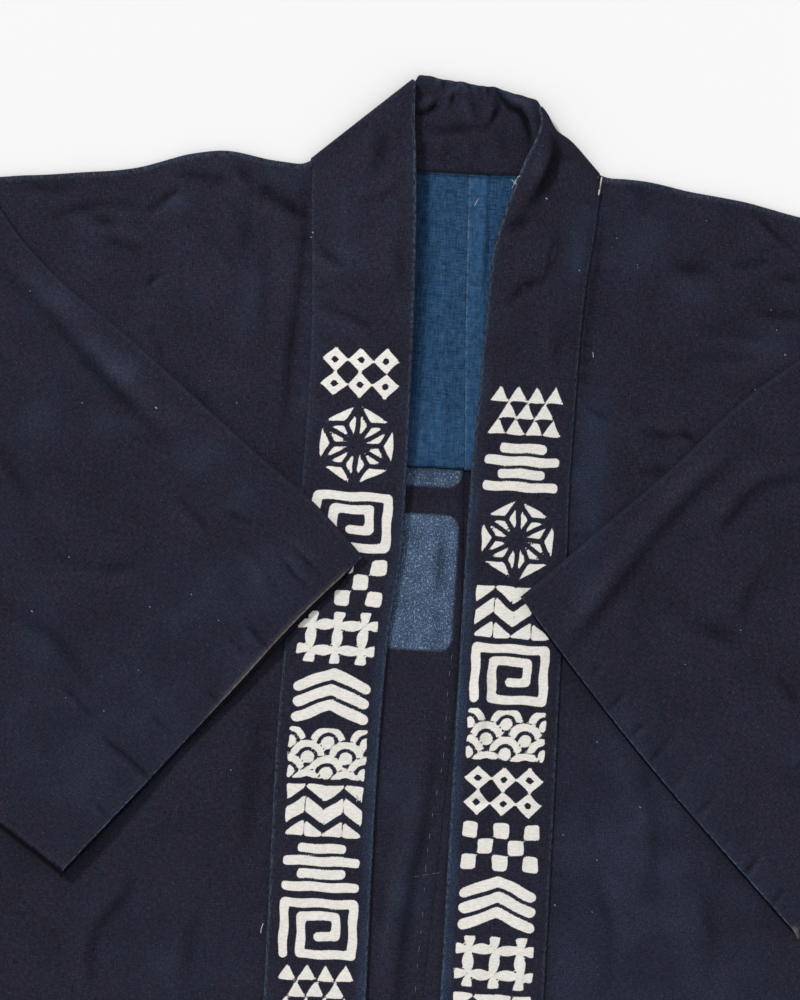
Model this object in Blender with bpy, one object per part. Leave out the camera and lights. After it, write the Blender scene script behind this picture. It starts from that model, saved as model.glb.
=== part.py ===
"""A happi coat laid flat, face up, with both sleeves folded over its fronts.

+X runs to the wearer's left, +Y from the hem to the collar, and Z = 0 is the surface the coat lies on.
Each piece is cut as its maker cuts it: two body strips that run over the shoulders from hem to hem, two
flat sleeve tubes, one long doubled collar band and the two halves of the back yoke. A piece is worked out
as the middle surface of its cloth and thickened with Solidify. Tables and sizes are in millimetres, in a
frame whose zero is the middle of the neck seam; MM turns them to metres.
"""

from collections import namedtuple
from math import cos, pi, radians, sin, tan

import bmesh
import bpy
import numpy as np

MM = 0.001

# cut of the coat
BODY_LENGTH = 950.0  # neck seam to hem
NECK_HALF = 92.0  # middle to where the collar meets the shoulder
ARMHOLE = 295.0  # neck seam down to where the side seam begins
SLEEVE_WIDTH = 349.0  # armhole to cuff
SLEEVE_HEIGHT = 266.0  # top fold to bottom seam
YOKE_LENGTH = {"right": 186.6, "left": 187.4}  # neck seam to the lower edge of each half of the yoke
YOKE_HALF = 150.0  # middle to the outer edge of the yoke lining
YOKE_SHORT = 2.0  # how far the yoke stops short of the shoulder fold
UNDER_COLLAR = 8.0  # how far a front runs in under the collar band

# cloth
WALL = 1.2  # one layer, with its seams
LINING_WALL = 1.0
COLLAR_WALL = 2.4  # the doubled band
GAP = 0.3  # between pieces at a seam

# heights of the middle of each layer
BACK_Z = WALL / 2
LINING_Z = WALL + GAP + LINING_WALL / 2
FRONT_Z = 3.4
FOLD_Z = (BACK_Z + FRONT_Z) / 2
FOLD_RADIUS = (FRONT_Z - BACK_Z) / 2
FOLD_REACH = FOLD_RADIUS + WALL / 2

# a sleeve is two walls, folded over at SLEEVE_FOLD_Z
SLEEVE_LOW_Z = BACK_Z
SLEEVE_HIGH_Z = 2.4
SLEEVE_FOLD_Z = 3.7
SLEEVE_EDGE_RADIUS = (SLEEVE_HIGH_Z - SLEEVE_LOW_Z) / 2
SLEEVE_FOLD_RADIUS = SLEEVE_FOLD_Z - (SLEEVE_LOW_Z + SLEEVE_HIGH_Z) / 2
ARMHOLE_GAP = 0.4
FOLD_START = 1.5  # the fold leaves the top edge this far out from the armhole
FLAP_SETTLE = 60.0  # the folded part takes its lifts and uneven edges over this far from the fold

# how a folded sleeve climbs over the collar, and where its lower cuff corner lifts
COLLAR_LIFT = 3.8
COLLAR_LIFT_FROM = 160.0
COLLAR_LIFT_TO = 98.0
CORNER_LIFT = 6.0
CORNER_OUT = 200.0  # the corner begins to lift this far out along the sleeve
CORNER_DOWN = 120.0  # and this far down it

COLLAR_BOW = 0.4  # rise of the band between its two edges
FRONT_SETTLE = 60.0  # below the shoulder, a front's inner edge takes this long to run in under the collar
NECK_CORNER_POWER = 6  # how tightly the back's top edge turns down to the shoulder fold beside the neck

# how finely each piece is divided
BODY_LOW_ROWS = 6
BODY_HIGH_ROWS = 7
BODY_COLUMNS = 9
INNER_COLUMNS = 6
FOLD_STEPS = 4
YOKE_ROWS = 4
YOKE_COLUMNS = 7
COLLAR_COLUMNS = 5
SLEEVE_ROWS = 10
SLEEVE_UNDER_COLUMNS = 4
SLEEVE_FOLD_COLUMNS = 5
SLEEVE_OVER_COLUMNS = 12
EDGE_STEPS = 4
MERGE = 0.001
SHARP_DEGREES = 40.0

SIGN = {"right": -1, "left": 1}

# centre back seam, which the cloth has drawn to one side
CentreRow = namedtuple("CentreRow", "down x")
CENTRE_SEAM = (
    CentreRow(0, 8.5),
    CentreRow(81, 11.6),
    CentreRow(185, 17.0),
    CentreRow(295, 21.3),
    CentreRow(400, 17.5),
    CentreRow(495, 12.5),
    CentreRow(950, 0.0),
)

# side of the body, from the shoulder down past the underarm to the hem
SideRow = namedtuple("SideRow", "down out")
BODY_SIDE = (SideRow(22, 298.0), SideRow(295, 282.5), SideRow(950, 296.0))

# shoulder outline, from the neck out
ShoulderRow = namedtuple("ShoulderRow", "out up")
SHOULDER = {
    "right": (
        ShoulderRow(92, -1.0),
        ShoulderRow(118, 1.3),
        ShoulderRow(143, 5.0),
        ShoulderRow(170, 1.0),
        ShoulderRow(203, -9.5),
        ShoulderRow(243, -15.0),
        ShoulderRow(298, -21.0),
    ),
    "left": (
        ShoulderRow(92, 2.5),
        ShoulderRow(118, 1.8),
        ShoulderRow(146, -2.3),
        ShoulderRow(185, -7.6),
        ShoulderRow(218, -14.4),
        ShoulderRow(298, -23.5),
    ),
}

# the collar band, row by row: its seam edge and its free edge, each across, up and above the ground
CollarRow = namedtuple("CollarRow", "seam_x seam_y seam_z free_x free_y free_z")
COLLAR_BACK = (
    CollarRow(-89.3, 1.5, 1.4, -29.0, 54.0, 4.6),
    CollarRow(-72.0, 1.3, 1.3, -28.4, 55.6, 4.6),
    CollarRow(-50.0, 1.0, 1.3, -27.7, 57.2, 4.6),
    CollarRow(-28.0, 0.7, 1.3, -26.5, 58.8, 4.6),
    CollarRow(-5.0, 0.6, 1.3, -7.0, 58.4, 4.6),
    CollarRow(18.0, 0.8, 1.3, 14.0, 56.8, 4.6),
    CollarRow(37.0, 1.5, 1.3, 29.5, 52.2, 5.0),
    CollarRow(56.0, 2.2, 1.3, 41.0, 48.4, 5.6),
    CollarRow(73.0, 2.7, 1.4, 45.6, 44.2, 6.2),
    CollarRow(88.5, 3.2, 1.6, 47.3, 41.0, 6.8),
)
COLLAR_FRONT = {
    "right": (
        CollarRow(-89.3, 1.5, 5.8, -29.0, 54.0, 9.4),
        CollarRow(-89.2, -6.0, 5.8, -28.4, 34.0, 10.0),
        CollarRow(-88.8, -16.0, 5.8, -26.5, 12.0, 10.4),
        CollarRow(-88.0, -30.0, 5.8, -24.8, -12.0, 10.6),
        CollarRow(-86.0, -58.0, 5.8, -22.8, -50.0, 10.4),
        CollarRow(-83.5, -105.0, 5.8, -21.4, -100.0, 9.6),
        CollarRow(-83.1, -150.0, 5.8, -20.4, -150.0, 8.6),
        CollarRow(-83.8, -200.0, 5.8, -19.8, -200.0, 7.0),
        CollarRow(-86.0, -245.0, 5.8, -20.0, -243.0, 5.2),
        CollarRow(-88.2, -295.0, 5.8, -25.0, -294.0, 4.4),
        CollarRow(-89.6, -345.0, 5.8, -26.6, -345.0, 4.2),
        CollarRow(-89.0, -440.0, 5.8, -26.6, -440.0, 4.2),
        CollarRow(-88.0, -525.0, 5.8, -25.2, -525.0, 4.2),
        CollarRow(-87.0, -740.0, 5.8, -25.0, -740.0, 4.2),
        CollarRow(-87.0, -950.0, 5.8, -25.0, -950.0, 4.2),
    ),
    "left": (
        CollarRow(88.5, 3.2, 5.9, 47.3, 41.0, 12.0),
        CollarRow(90.4, -4.0, 5.8, 50.6, 33.0, 12.6),
        CollarRow(90.6, -12.0, 5.8, 48.8, 20.0, 12.6),
        CollarRow(90.0, -22.0, 5.8, 43.0, 7.0, 12.0),
        CollarRow(89.0, -34.0, 5.8, 36.5, -12.0, 11.6),
        CollarRow(86.4, -57.0, 5.8, 28.8, -41.0, 11.0),
        CollarRow(84.0, -97.0, 5.8, 25.2, -97.0, 9.8),
        CollarRow(83.4, -140.0, 5.8, 23.8, -140.0, 8.8),
        CollarRow(82.8, -187.0, 5.8, 22.2, -187.0, 7.4),
        CollarRow(84.0, -240.0, 5.8, 21.8, -240.0, 5.4),
        CollarRow(84.1, -300.0, 5.8, 21.9, -300.0, 4.4),
        CollarRow(85.0, -380.0, 5.8, 22.2, -380.0, 4.2),
        CollarRow(86.0, -485.0, 5.8, 22.8, -485.0, 4.2),
        CollarRow(86.0, -720.0, 5.8, 23.4, -720.0, 4.2),
        CollarRow(86.0, -950.0, 5.8, 24.0, -950.0, 4.2),
    ),
}

# how each sleeve lies: the top of its armhole, how far its top edge droops from level, the angle of its fold
# from the armhole, both in degrees, and how much its cuff leans out for each millimetre down
SleeveLay = namedtuple("SleeveLay", "start_out start_y droop fold_angle skew")
SLEEVE_LAY = {
    "right": SleeveLay(298.5, -21.5, 3.3, 22.35, 0.0175),
    "left": SleeveLay(298.5, -23.5, 3.3, 24.2, 0.035),
}

# how far the edges of a folded sleeve stand out from straight
EdgeRow = namedtuple("EdgeRow", "at out")
TOP_EDGE = {
    "right": (
        EdgeRow(0, -1.0),
        EdgeRow(88, -7.5),
        EdgeRow(150, -2.0),
        EdgeRow(216, 0.8),
        EdgeRow(264, 3.2),
        EdgeRow(304, 6.1),
        EdgeRow(330, 4.7),
        EdgeRow(349, -0.5),
    ),
    "left": (
        EdgeRow(0, -1.0),
        EdgeRow(118, -1.0),
        EdgeRow(156, 3.0),
        EdgeRow(227, 1.2),
        EdgeRow(294, 2.8),
        EdgeRow(334, 2.0),
        EdgeRow(349, -0.5),
    ),
}
CUFF_EDGE = {
    "right": (EdgeRow(0, 0.0), EdgeRow(50, -3.0), EdgeRow(116, -1.6), EdgeRow(186, -0.5), EdgeRow(267, 0.0)),
    "left": (EdgeRow(0, 0.0), EdgeRow(54, 3.4), EdgeRow(92, 3.8), EdgeRow(148, 3.0), EdgeRow(267, 0.0)),
}
BOTTOM_EDGE = {
    "right": (EdgeRow(120, 0.0), EdgeRow(205, 6.0), EdgeRow(293, 6.0), EdgeRow(349, -1.0)),
    "left": (EdgeRow(120, 0.0), EdgeRow(235, 3.0), EdgeRow(349, -1.0)),
}

INDIGO = (0.0212, 0.0203, 0.0343, 1.0)
INDIGO_COLLAR = (0.0203, 0.0194, 0.0316, 1.0)
YOKE_BLUE = (0.0185, 0.0529, 0.1144, 1.0)
COTTON_ROUGHNESS = 0.92


def smooth(value):
    """0 up to 0, 1 from 1 on, and an S-curve between them."""
    t = np.clip(value, 0.0, 1.0)
    return t * t * (3 - 2 * t)


def read(rows, at):
    """A table's second column at places given in its first, straight between rows."""
    columns = np.array(rows, dtype=float)
    return np.interp(at, columns[:, 0], columns[:, 1])


def material(name, colour):
    """A plain cotton finish of the given linear colour."""
    made = bpy.data.materials.new(name)
    made.use_nodes = True
    made.diffuse_color = colour
    shader = made.node_tree.nodes["Principled BSDF"]
    shader.inputs["Base Color"].default_value = colour
    shader.inputs["Roughness"].default_value = COTTON_ROUGHNESS
    shader.inputs["Metallic"].default_value = 0.0
    return made


def points(x, y, z):
    """One grid of points from three arrays that broadcast to rows by columns."""
    return np.stack(np.broadcast_arrays(x, y, z), axis=-1)


def cloth(name, grids, wall, finish):
    """One piece of cloth: grids of middle-surface points, joined where they meet and thickened to a wall."""
    work = bmesh.new()
    for grid in grids:
        rows, columns = grid.shape[:2]
        corners = [[work.verts.new(grid[r, c] * MM) for c in range(columns)] for r in range(rows)]
        for r in range(rows - 1):
            for c in range(columns - 1):
                work.faces.new((corners[r][c], corners[r][c + 1], corners[r + 1][c + 1], corners[r + 1][c]))
    bmesh.ops.remove_doubles(work, verts=work.verts, dist=MERGE * MM)
    bmesh.ops.recalc_face_normals(work, faces=work.faces)
    mesh = bpy.data.meshes.new(name)
    work.to_mesh(mesh)
    work.free()
    mesh.shade_smooth()
    mesh.set_sharp_from_angle(angle=radians(SHARP_DEGREES))
    mesh.materials.append(finish)
    piece = bpy.data.objects.new(name, mesh)
    bpy.context.collection.objects.link(piece)
    thicken = piece.modifiers.new("wall", "SOLIDIFY")
    thicken.thickness = wall * MM
    thicken.offset = 0.0
    thicken.use_even_offset = True
    return piece


def body_side(y):
    """Middle to the side of the body at a height, measured to the axis of the side fold."""
    return read(BODY_SIDE, -y)


def shoulder_axis(side, out):
    """Height of the axis that the cloth turns about at the shoulder, some way out from the middle."""
    return read(SHOULDER[side], out) - FOLD_REACH


def collar_seam(side, y):
    """Middle to the seam that joins a front to the collar band, at a height."""
    return read([(-row.seam_y, abs(row.seam_x)) for row in COLLAR_FRONT[side]], -y)


def neck_edge(side, x):
    """Top edge of what is sewn to the back of the collar: along the seam, then down to the shoulder fold."""
    seam = read([(row.seam_x, row.seam_y) for row in COLLAR_BACK], x) - GAP
    turn = np.clip(abs(x) / NECK_HALF, 0.0, 1.0) ** NECK_CORNER_POWER
    return seam + (shoulder_axis(side, NECK_HALF) - seam) * turn


def body(side, finish):
    """One body strip: up the back, over the shoulder and down the front, closed along the side seam."""
    sign = SIGN[side]
    low = np.linspace(-BODY_LENGTH, -ARMHOLE, BODY_LOW_ROWS)[:, None]
    climb = np.linspace(0.0, 1.0, BODY_HIGH_ROWS)[1:, None]
    turn = np.linspace(0.0, pi, FOLD_STEPS + 1)
    turn_out = FOLD_RADIUS * np.sin(turn)
    turn_z = FOLD_Z - FOLD_RADIUS * np.cos(turn)

    share = np.linspace(0.0, 1.0, BODY_COLUMNS)[None, :]
    shoulder_out = NECK_HALF + (BODY_SIDE[0].out - NECK_HALF) * share
    shoulder = shoulder_axis(side, shoulder_out)
    y = np.vstack([low + 0 * share, -ARMHOLE + (shoulder + ARMHOLE) * climb])
    reach = body_side(y)
    back_x = NECK_HALF + (reach - NECK_HALF) * share
    settle = smooth((shoulder - y) / FRONT_SETTLE)
    inner_edge = NECK_HALF + (collar_seam(side, y) - UNDER_COLLAR - NECK_HALF) * settle
    front_x = inner_edge + (reach - inner_edge) * share
    over_shoulder = points(sign * back_x[-1:], shoulder + turn_out[:, None], turn_z[:, None])
    side_seam = points(sign * (body_side(low) + turn_out), low, turn_z)

    inward = np.linspace(0.0, 1.0, INNER_COLUMNS)[None, :]
    neck_x = sign * NECK_HALF + (CENTRE_SEAM[0].x - sign * NECK_HALF) * inward
    inner_y = np.vstack([low + 0 * inward, -ARMHOLE + (neck_edge(side, neck_x) + ARMHOLE) * climb])
    middle = read(CENTRE_SEAM, -inner_y) + sign * GAP / 2
    inner_x = sign * NECK_HALF + (middle - sign * NECK_HALF) * inward

    grids = (
        points(sign * back_x, y, BACK_Z),
        over_shoulder,
        points(sign * front_x, y, FRONT_Z),
        side_seam,
        points(inner_x, inner_y, BACK_Z),
    )
    return cloth("body_" + side, grids, WALL, finish)


def yoke(side, finish):
    """Half of the lining behind the neck, from the centre seam out under the front."""
    sign = SIGN[side]
    share = np.linspace(0.0, 1.0, YOKE_COLUMNS)[None, :]
    climb = np.linspace(0.0, 1.0, YOKE_ROWS)[:, None]
    top_x = CENTRE_SEAM[0].x + (sign * YOKE_HALF - CENTRE_SEAM[0].x) * share
    out = sign * top_x
    top = np.where(out > NECK_HALF, shoulder_axis(side, out), neck_edge(side, top_x))
    top = top - YOKE_SHORT * np.clip(out / NECK_HALF, 0.0, 1.0) ** NECK_CORNER_POWER
    y = -YOKE_LENGTH[side] + (top + YOKE_LENGTH[side]) * climb
    middle = read(CENTRE_SEAM, -y) + sign * GAP / 2
    x = middle + (sign * YOKE_HALF - middle) * share
    return cloth("yoke_" + side, (points(x, y, LINING_Z),), LINING_WALL, finish)


def collar_roll(side, low, high):
    """Rows between the lower and upper layer of the band where it folds over beside the neck, lowest first."""
    fold = np.array((low.free_x - low.seam_x, low.free_y - low.seam_y))
    fold = SIGN[side] * fold / np.hypot(*fold)
    away = np.array((fold[1], -fold[0]))
    rows = []
    for angle in np.linspace(0.0, pi, FOLD_STEPS + 2)[1:-1]:
        seam_radius = (high.seam_z - low.seam_z) / 2
        free_radius = (high.free_z - low.free_z) / 2
        seam = away * seam_radius * sin(angle)
        free = away * free_radius * sin(angle)
        rows.append(
            CollarRow(
                low.seam_x + seam[0],
                low.seam_y + seam[1],
                low.seam_z + seam_radius * (1 - cos(angle)),
                low.free_x + free[0],
                low.free_y + free[1],
                low.free_z + free_radius * (1 - cos(angle)),
            )
        )
    return rows


def collar(finish):
    """The doubled band: up the right front, folded over, round the back of the neck and down the left front."""
    right, left = COLLAR_FRONT["right"], COLLAR_FRONT["left"]
    rows = [
        *reversed(right),
        *reversed(collar_roll("right", COLLAR_BACK[0], right[0])),
        *COLLAR_BACK,
        *collar_roll("left", COLLAR_BACK[-1], left[0]),
        *left,
    ]
    table = np.array(rows)
    across = np.linspace(0.0, 1.0, COLLAR_COLUMNS)[None, :, None]
    grid = table[:, None, :3] + (table[:, None, 3:] - table[:, None, :3]) * across
    grid[..., 2] += COLLAR_BOW * np.sin(pi * across[..., 0])
    return cloth("collar", (grid,), COLLAR_WALL, finish)


def sleeve(side, finish):
    """A flat sleeve tube, open at armhole and cuff, folded over the front of the coat.

    The tube is worked out unfolded first, by how far out and how far down the sleeve a point is and how high
    it lies. Past the fold line it then turns over about an axis at SLEEVE_FOLD_Z.
    """
    sign = SIGN[side]
    lay = SLEEVE_LAY[side]
    tilt, droop = radians(lay.fold_angle), radians(lay.droop)
    outward = np.array((sign * cos(droop), -sin(droop)))
    downward = np.array((-sign * sin(droop), -cos(droop)))
    fold_along = sin(tilt) * outward + cos(tilt) * downward
    fold_away = cos(tilt) * outward - sin(tilt) * downward

    flat = np.linspace(0.0, SLEEVE_HEIGHT, SLEEVE_ROWS)
    turn = np.linspace(0.0, pi, EDGE_STEPS + 1)[1:-1]
    bulge = SLEEVE_EDGE_RADIUS * np.sin(turn)
    rise = SLEEVE_EDGE_RADIUS * (1 - np.cos(turn))
    down = np.concatenate([flat, SLEEVE_HEIGHT + bulge, flat[::-1], -bulge, flat[:1]])[:, None]
    low, high = np.full_like(flat, SLEEVE_LOW_Z), np.full_like(flat, SLEEVE_HIGH_Z)
    height = np.concatenate([low, SLEEVE_LOW_Z + rise, high, SLEEVE_HIGH_Z - rise, low[:1]])[:, None]

    fold_out = FOLD_START + down * tan(tilt)
    fold_length = pi * SLEEVE_FOLD_RADIUS / cos(tilt)
    under = ARMHOLE_GAP + (fold_out - ARMHOLE_GAP) * np.linspace(0.0, 1.0, SLEEVE_UNDER_COLUMNS)[None, :]
    turning = fold_out + fold_length * np.linspace(0.0, 1.0, SLEEVE_FOLD_COLUMNS + 1)[None, 1:-1]
    over_from = fold_out + fold_length
    over = over_from + (SLEEVE_WIDTH - over_from) * np.linspace(0.0, 1.0, SLEEVE_OVER_COLUMNS)[None, :]
    out = np.hstack([under, turning, over])

    settle = smooth((out - fold_out) / FLAP_SETTLE)
    along, across = out / SLEEVE_WIDTH, down / SLEEVE_HEIGHT
    cuff = (read(CUFF_EDGE[side], down) + lay.skew * down) * along**2
    top = read(TOP_EDGE[side], out) * (1 - across) ** 2
    bottom = read(BOTTOM_EDGE[side], out) * across**2
    true_out = out + cuff * settle - FOLD_START
    true_down = down + (bottom - top) * settle

    past_fold = true_out * cos(tilt) - true_down * sin(tilt)
    down_fold = true_out * sin(tilt) + true_down * cos(tilt)
    angle = np.clip(past_fold / SLEEVE_FOLD_RADIUS, 0.0, pi)
    radius = SLEEVE_FOLD_Z - height
    beyond = np.maximum(past_fold - pi * SLEEVE_FOLD_RADIUS, 0.0)
    from_fold = np.minimum(past_fold, 0.0) + radius * np.sin(angle) - beyond
    start = np.array((sign * lay.start_out, lay.start_y)) + FOLD_START * outward
    x = start[0] + down_fold * fold_along[0] + from_fold * fold_away[0]
    y = start[1] + down_fold * fold_along[1] + from_fold * fold_away[1]

    climb = COLLAR_LIFT * smooth((COLLAR_LIFT_FROM - sign * x) / (COLLAR_LIFT_FROM - COLLAR_LIFT_TO))
    corner = smooth((out - CORNER_OUT) / (SLEEVE_WIDTH - CORNER_OUT))
    corner = CORNER_LIFT * corner * smooth((down - CORNER_DOWN) / (SLEEVE_HEIGHT - CORNER_DOWN))
    z = SLEEVE_FOLD_Z - radius * np.cos(angle) + (climb + corner) * smooth(beyond / FLAP_SETTLE)
    return cloth("sleeve_" + side, (points(x, y, z),), WALL, finish)


def set_down(pieces):
    """Move the coat so that its origin is the middle of its footprint, on the surface it lies on."""
    bpy.context.view_layer.update()
    scene = bpy.context.evaluated_depsgraph_get()
    corners = []
    for piece in pieces:
        corners += [corner[:] for corner in piece.evaluated_get(scene).bound_box]
    corners = np.array(corners)
    lowest, highest = corners.min(axis=0), corners.max(axis=0)
    middle = (lowest + highest) / 2
    for piece in pieces:
        piece.location = (-middle[0], -middle[1], -lowest[2])


def main():
    for thing in list(bpy.data.objects):
        bpy.data.objects.remove(thing, do_unlink=True)
    indigo = material("indigo cotton", INDIGO)
    band = material("indigo cotton, doubled", INDIGO_COLLAR)
    blue = material("mid-blue cotton", YOKE_BLUE)
    pieces = [collar(band)]
    for side in SIGN:
        pieces += [body(side, indigo), yoke(side, blue), sleeve(side, indigo)]
    set_down(pieces)


main()
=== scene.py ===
from collections import namedtuple
from math import atan2, cos, pi, radians, sin, tan

import bmesh
import bpy
import numpy as np
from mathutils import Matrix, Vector
from mathutils.bvhtree import BVHTree


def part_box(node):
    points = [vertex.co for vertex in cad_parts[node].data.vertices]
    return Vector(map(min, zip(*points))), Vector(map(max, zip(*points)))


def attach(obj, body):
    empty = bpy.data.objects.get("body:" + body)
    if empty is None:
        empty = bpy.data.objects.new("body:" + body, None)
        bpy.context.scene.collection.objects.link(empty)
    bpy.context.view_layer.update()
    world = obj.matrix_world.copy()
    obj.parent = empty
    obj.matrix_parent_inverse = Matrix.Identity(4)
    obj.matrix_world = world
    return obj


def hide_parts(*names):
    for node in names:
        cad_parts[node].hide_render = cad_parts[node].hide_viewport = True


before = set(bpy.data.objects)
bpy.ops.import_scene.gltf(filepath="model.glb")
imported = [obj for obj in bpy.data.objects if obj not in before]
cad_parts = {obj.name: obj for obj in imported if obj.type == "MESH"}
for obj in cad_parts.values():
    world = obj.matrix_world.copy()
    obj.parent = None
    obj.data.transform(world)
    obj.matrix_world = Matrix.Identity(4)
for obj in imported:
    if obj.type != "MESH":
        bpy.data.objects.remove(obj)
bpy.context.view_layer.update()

# tables and sizes are in millimetres. +X runs to the wearer's left and +Y from hem to collar, and the coat's
# own zero is the middle of its neck seam; place() moves it to where the frame's coat lies
mm = 0.001
joinWithin = 0.002 * mm  # points closer than this are one
splitWithin = 0.01 * mm  # how far from a coarse edge a fine one's point may lie, and still split it
sides = {"right": -1, "left": 1}

yoke = {
    "half": 150.0,  # middle to the outer edge
    "length": {"right": 186.6, "left": 187.4},  # neck seam to the lower edge of each half
    "short": 2.0,  # how far it stops short of the shoulder fold
    "z": 1.3,
    "wall": 0.6,
    # how far in the painted shadow of the right front's band reaches on the lining, and down to where it fades
    "bandShadow": (-15.4, -110.0),  # how far in, and down to where, the right front has kept the light from it
}
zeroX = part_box("yoke_right")[0].x / mm + yoke["half"]
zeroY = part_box("yoke_left")[0].y / mm + yoke["length"]["left"]


def smooth(value):
    # 0 up to 0, 1 from 1 on, and an S-curve between them
    t = np.clip(value, 0.0, 1.0)
    return t * t * (3 - 2 * t)


def bell(distance, width):
    return np.exp(-((distance / width) ** 2))


def read(rows, at):
    # a curve through a table's rows, each a place and its value: each stretch is a cubic that keeps the mean
    # slope of the stretches beside a row
    known, value = np.array(rows, dtype=float).T[:2]
    slope = np.gradient(value, known)
    at = np.clip(at, known[0], known[-1])
    i = np.clip(np.searchsorted(known, at, side="right") - 1, 0, len(known) - 2)
    step = known[i + 1] - known[i]
    t = (at - known[i]) / step
    low = (1 + 2 * t) * (1 - t) ** 2 * value[i] + t * (1 - t) ** 2 * step * slope[i]
    return low + t * t * (3 - 2 * t) * value[i + 1] + t * t * (t - 1) * step * slope[i + 1]


def stretches(rows):
    # places along a length: each row runs on to its end at its own pitch, and the first row begins at zero
    places, begun = [np.zeros(1)], 0.0
    for end, pitch in rows:
        places.append(np.linspace(begun, end, round((end - begun) / pitch) + 1)[1:])
        begun = end
    return np.concatenate(places)


def shares(rows):
    # the same places as shares of the whole length
    places = stretches(rows)
    return places / places[-1]


def runAlong(path):
    # how far along a path each of its points lies
    return np.concatenate([[0.0], np.cumsum(np.hypot(*np.diff(path, axis=0).T))])


def halfTurn(count):
    # angles between, but not at, the start and the end of half a turn
    return np.linspace(0.0, pi, count + 2)[1:-1]


def points(*parts):
    # one grid of points from arrays that broadcast to rows by columns
    return np.stack(np.broadcast_arrays(*parts), axis=-1)


def place(grid):
    # millimetres in the coat's own frame to metres in the shared one
    return (grid + np.array((zeroX, zeroY, 0.0))) * mm


def creased(x, y, creases):
    # each crease has a path, a width, a depth and a ridge. It is a trough along its path: its depth times a
    # bell curve of the distance across, with a lower, wider bell as the ridge on its right (or left, where
    # ridge is negative), both fading out at the path's ends
    height = np.zeros(np.broadcast(x, y).shape)
    for path, width, depth, ridge in creases:
        path = np.array(path, dtype=float)
        legs = np.hypot(*np.diff(path, axis=0).T)
        begun = np.concatenate([[0.0], np.cumsum(legs)])
        near = np.full(height.shape, np.inf)
        across, along = np.zeros_like(near), np.zeros_like(near)
        for start, end, leg, run in zip(path[:-1], path[1:], legs, begun):
            way = (end - start) / leg
            at = np.clip((x - start[0]) * way[0] + (y - start[1]) * way[1], 0.0, leg)
            offX, offY = x - start[0] - at * way[0], y - start[1] - at * way[1]
            far = np.hypot(offX, offY)
            closer = far < near
            across = np.where(closer, np.copysign(far, offX * way[1] - offY * way[0]), across)
            along = np.where(closer, (run + at) / begun[-1], along)
            near = np.minimum(near, far)
        uneven = 1 + 0.25 * np.sin(9.0 * along + path[0, 0])
        fade = np.clip(np.sin(pi * along), 0.0, 1.0) ** 0.7 * uneven
        beside = 1.9 * width * np.sign(ridge)
        height += fade * (abs(ridge) * bell(across - beside, 1.5 * width) - depth * bell(across, width))
    return height


def swell(x, y, size, seed, count=10):
    # low swells, as in cloth that was kept folded: a sum of sine waves of about one size in all directions,
    # on a ground that is itself bent by two longer waves
    rng = np.random.default_rng(seed)
    bent = 0.3 * size
    bentX = x + bent * np.sin(y / (0.7 * size) + seed)
    bentY = y + bent * np.sin(x / (0.8 * size) + 2 * seed)
    total = np.zeros(np.broadcast(x, y).shape)
    for turn, stretch, phase in rng.uniform(0.0, 1.0, (count, 3)):
        wave = size * (0.6 + 1.2 * stretch)
        total += np.sin(2 * pi * ((bentX * cos(pi * turn) + bentY * sin(pi * turn)) / wave + phase))
    return total / count**0.5


settling = {
    "amount": 0.42,
    "raised": 1.6,  # how much of it lies above the lowest, so that most places are lifted
    "size": 85.0,
    "outside": 297.0,  # middle to where it has sunk to nothing, and over what width
    "sinks": 30.0,
}


def ground(x, y):
    # how high the layers beneath have pushed everything that lies over the fronts: all of it rises together
    look = settling
    high = np.clip(look["raised"] + swell(x, y, look["size"], 11), 0.0, None)
    return look["amount"] * high * smooth((look["outside"] - abs(x)) / look["sinks"])


# where light and rubbing have taken some of the dye, so that the cloth is bluer and a little lighter: each
# place's middle x and y, how far it reaches across and up, and how much is gone
fadedPlaces = (
    (142, -425, 45, 90, 0.5), (205, -520, 60, 50, 0.35), (104, -470, 14, 90, 0.45), (96, -190, 11, 55, 0.8),
    (118, -30, 22, 26, 0.45), (204, -94, 13, 10, 0.6), (158, -66, 12, 8, 0.4), (-84, -138, 5, 60, 0.35),
    (-172, -31, 10, 6, 0.5), (-124, -86, 6, 14, 0.6), (-108, -5, 14, 7, 0.6), (-253, -95, 16, 12, 0.7),
    (-226, -122, 16, 10, 0.6), (-206, -140, 22, 9, 0.6), (-251, -168, 18, 18, 0.5), (-208, -168, 18, 10, 0.45),
    (-147, -190, 18, 12, 0.6), (-119, -215, 14, 12, 0.6), (-150, -290, 40, 34, 0.45), (-105, -262, 24, 20, 0.6),
    (-238, -308, 16, 24, 0.5), (-220, -380, 44, 40, 0.55), (-170, -352, 30, 26, 0.35),
    (-270, -240, 30, 40, 0.2), (78, -46, 9, 17, 0.7), (88, -22, 10, 10, 0.4), (-66, -50, 9, 22, 0.35),
    (236, -350, 12, 10, 0.5), (222, -440, 16, 14, 0.4), (-150, -500, 50, 40, 0.25), (-120, -660, 70, 80, 0.4),
    (180, -760, 60, 90, 0.45), (-12, -395, 14, 22, 0.5), (-2, -452, 12, 26, 0.55), (16, -620, 30, 90, 0.35),
)


def faded(x, y):
    # 0 where the dye is whole, up to 1 where most is gone: a sum of bell curves over the faded places
    total = np.zeros(np.broadcast(x, y).shape)
    for middleX, middleY, wide, high, amount in fadedPlaces:
        total += amount * bell(x - middleX, wide) * bell(y - middleY, high)
    return total * (0.9 + 0.15 * swell(x, y, 22.0, 31))


def dyeAndCreaseShade(x, y, fold):
    # how dark the cloth's colour is: darker deep in a crease and lighter on its crest, partly the indigo that
    # stays in a crease and rubs off its crest and partly painted shade and painted highlight, and a little
    # paler over the right shoulder than elsewhere
    worn = 1 + 0.16 * bell(x + 160.0, 130.0) * bell(y + 70.0, 100.0) + 0.05 * bell(x + 40.0, 70.0)
    return worn * (1 + 0.5 * np.clip(fold, -1.3, 0.0) + 0.38 * np.clip(fold, 0.0, 1.0))


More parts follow.
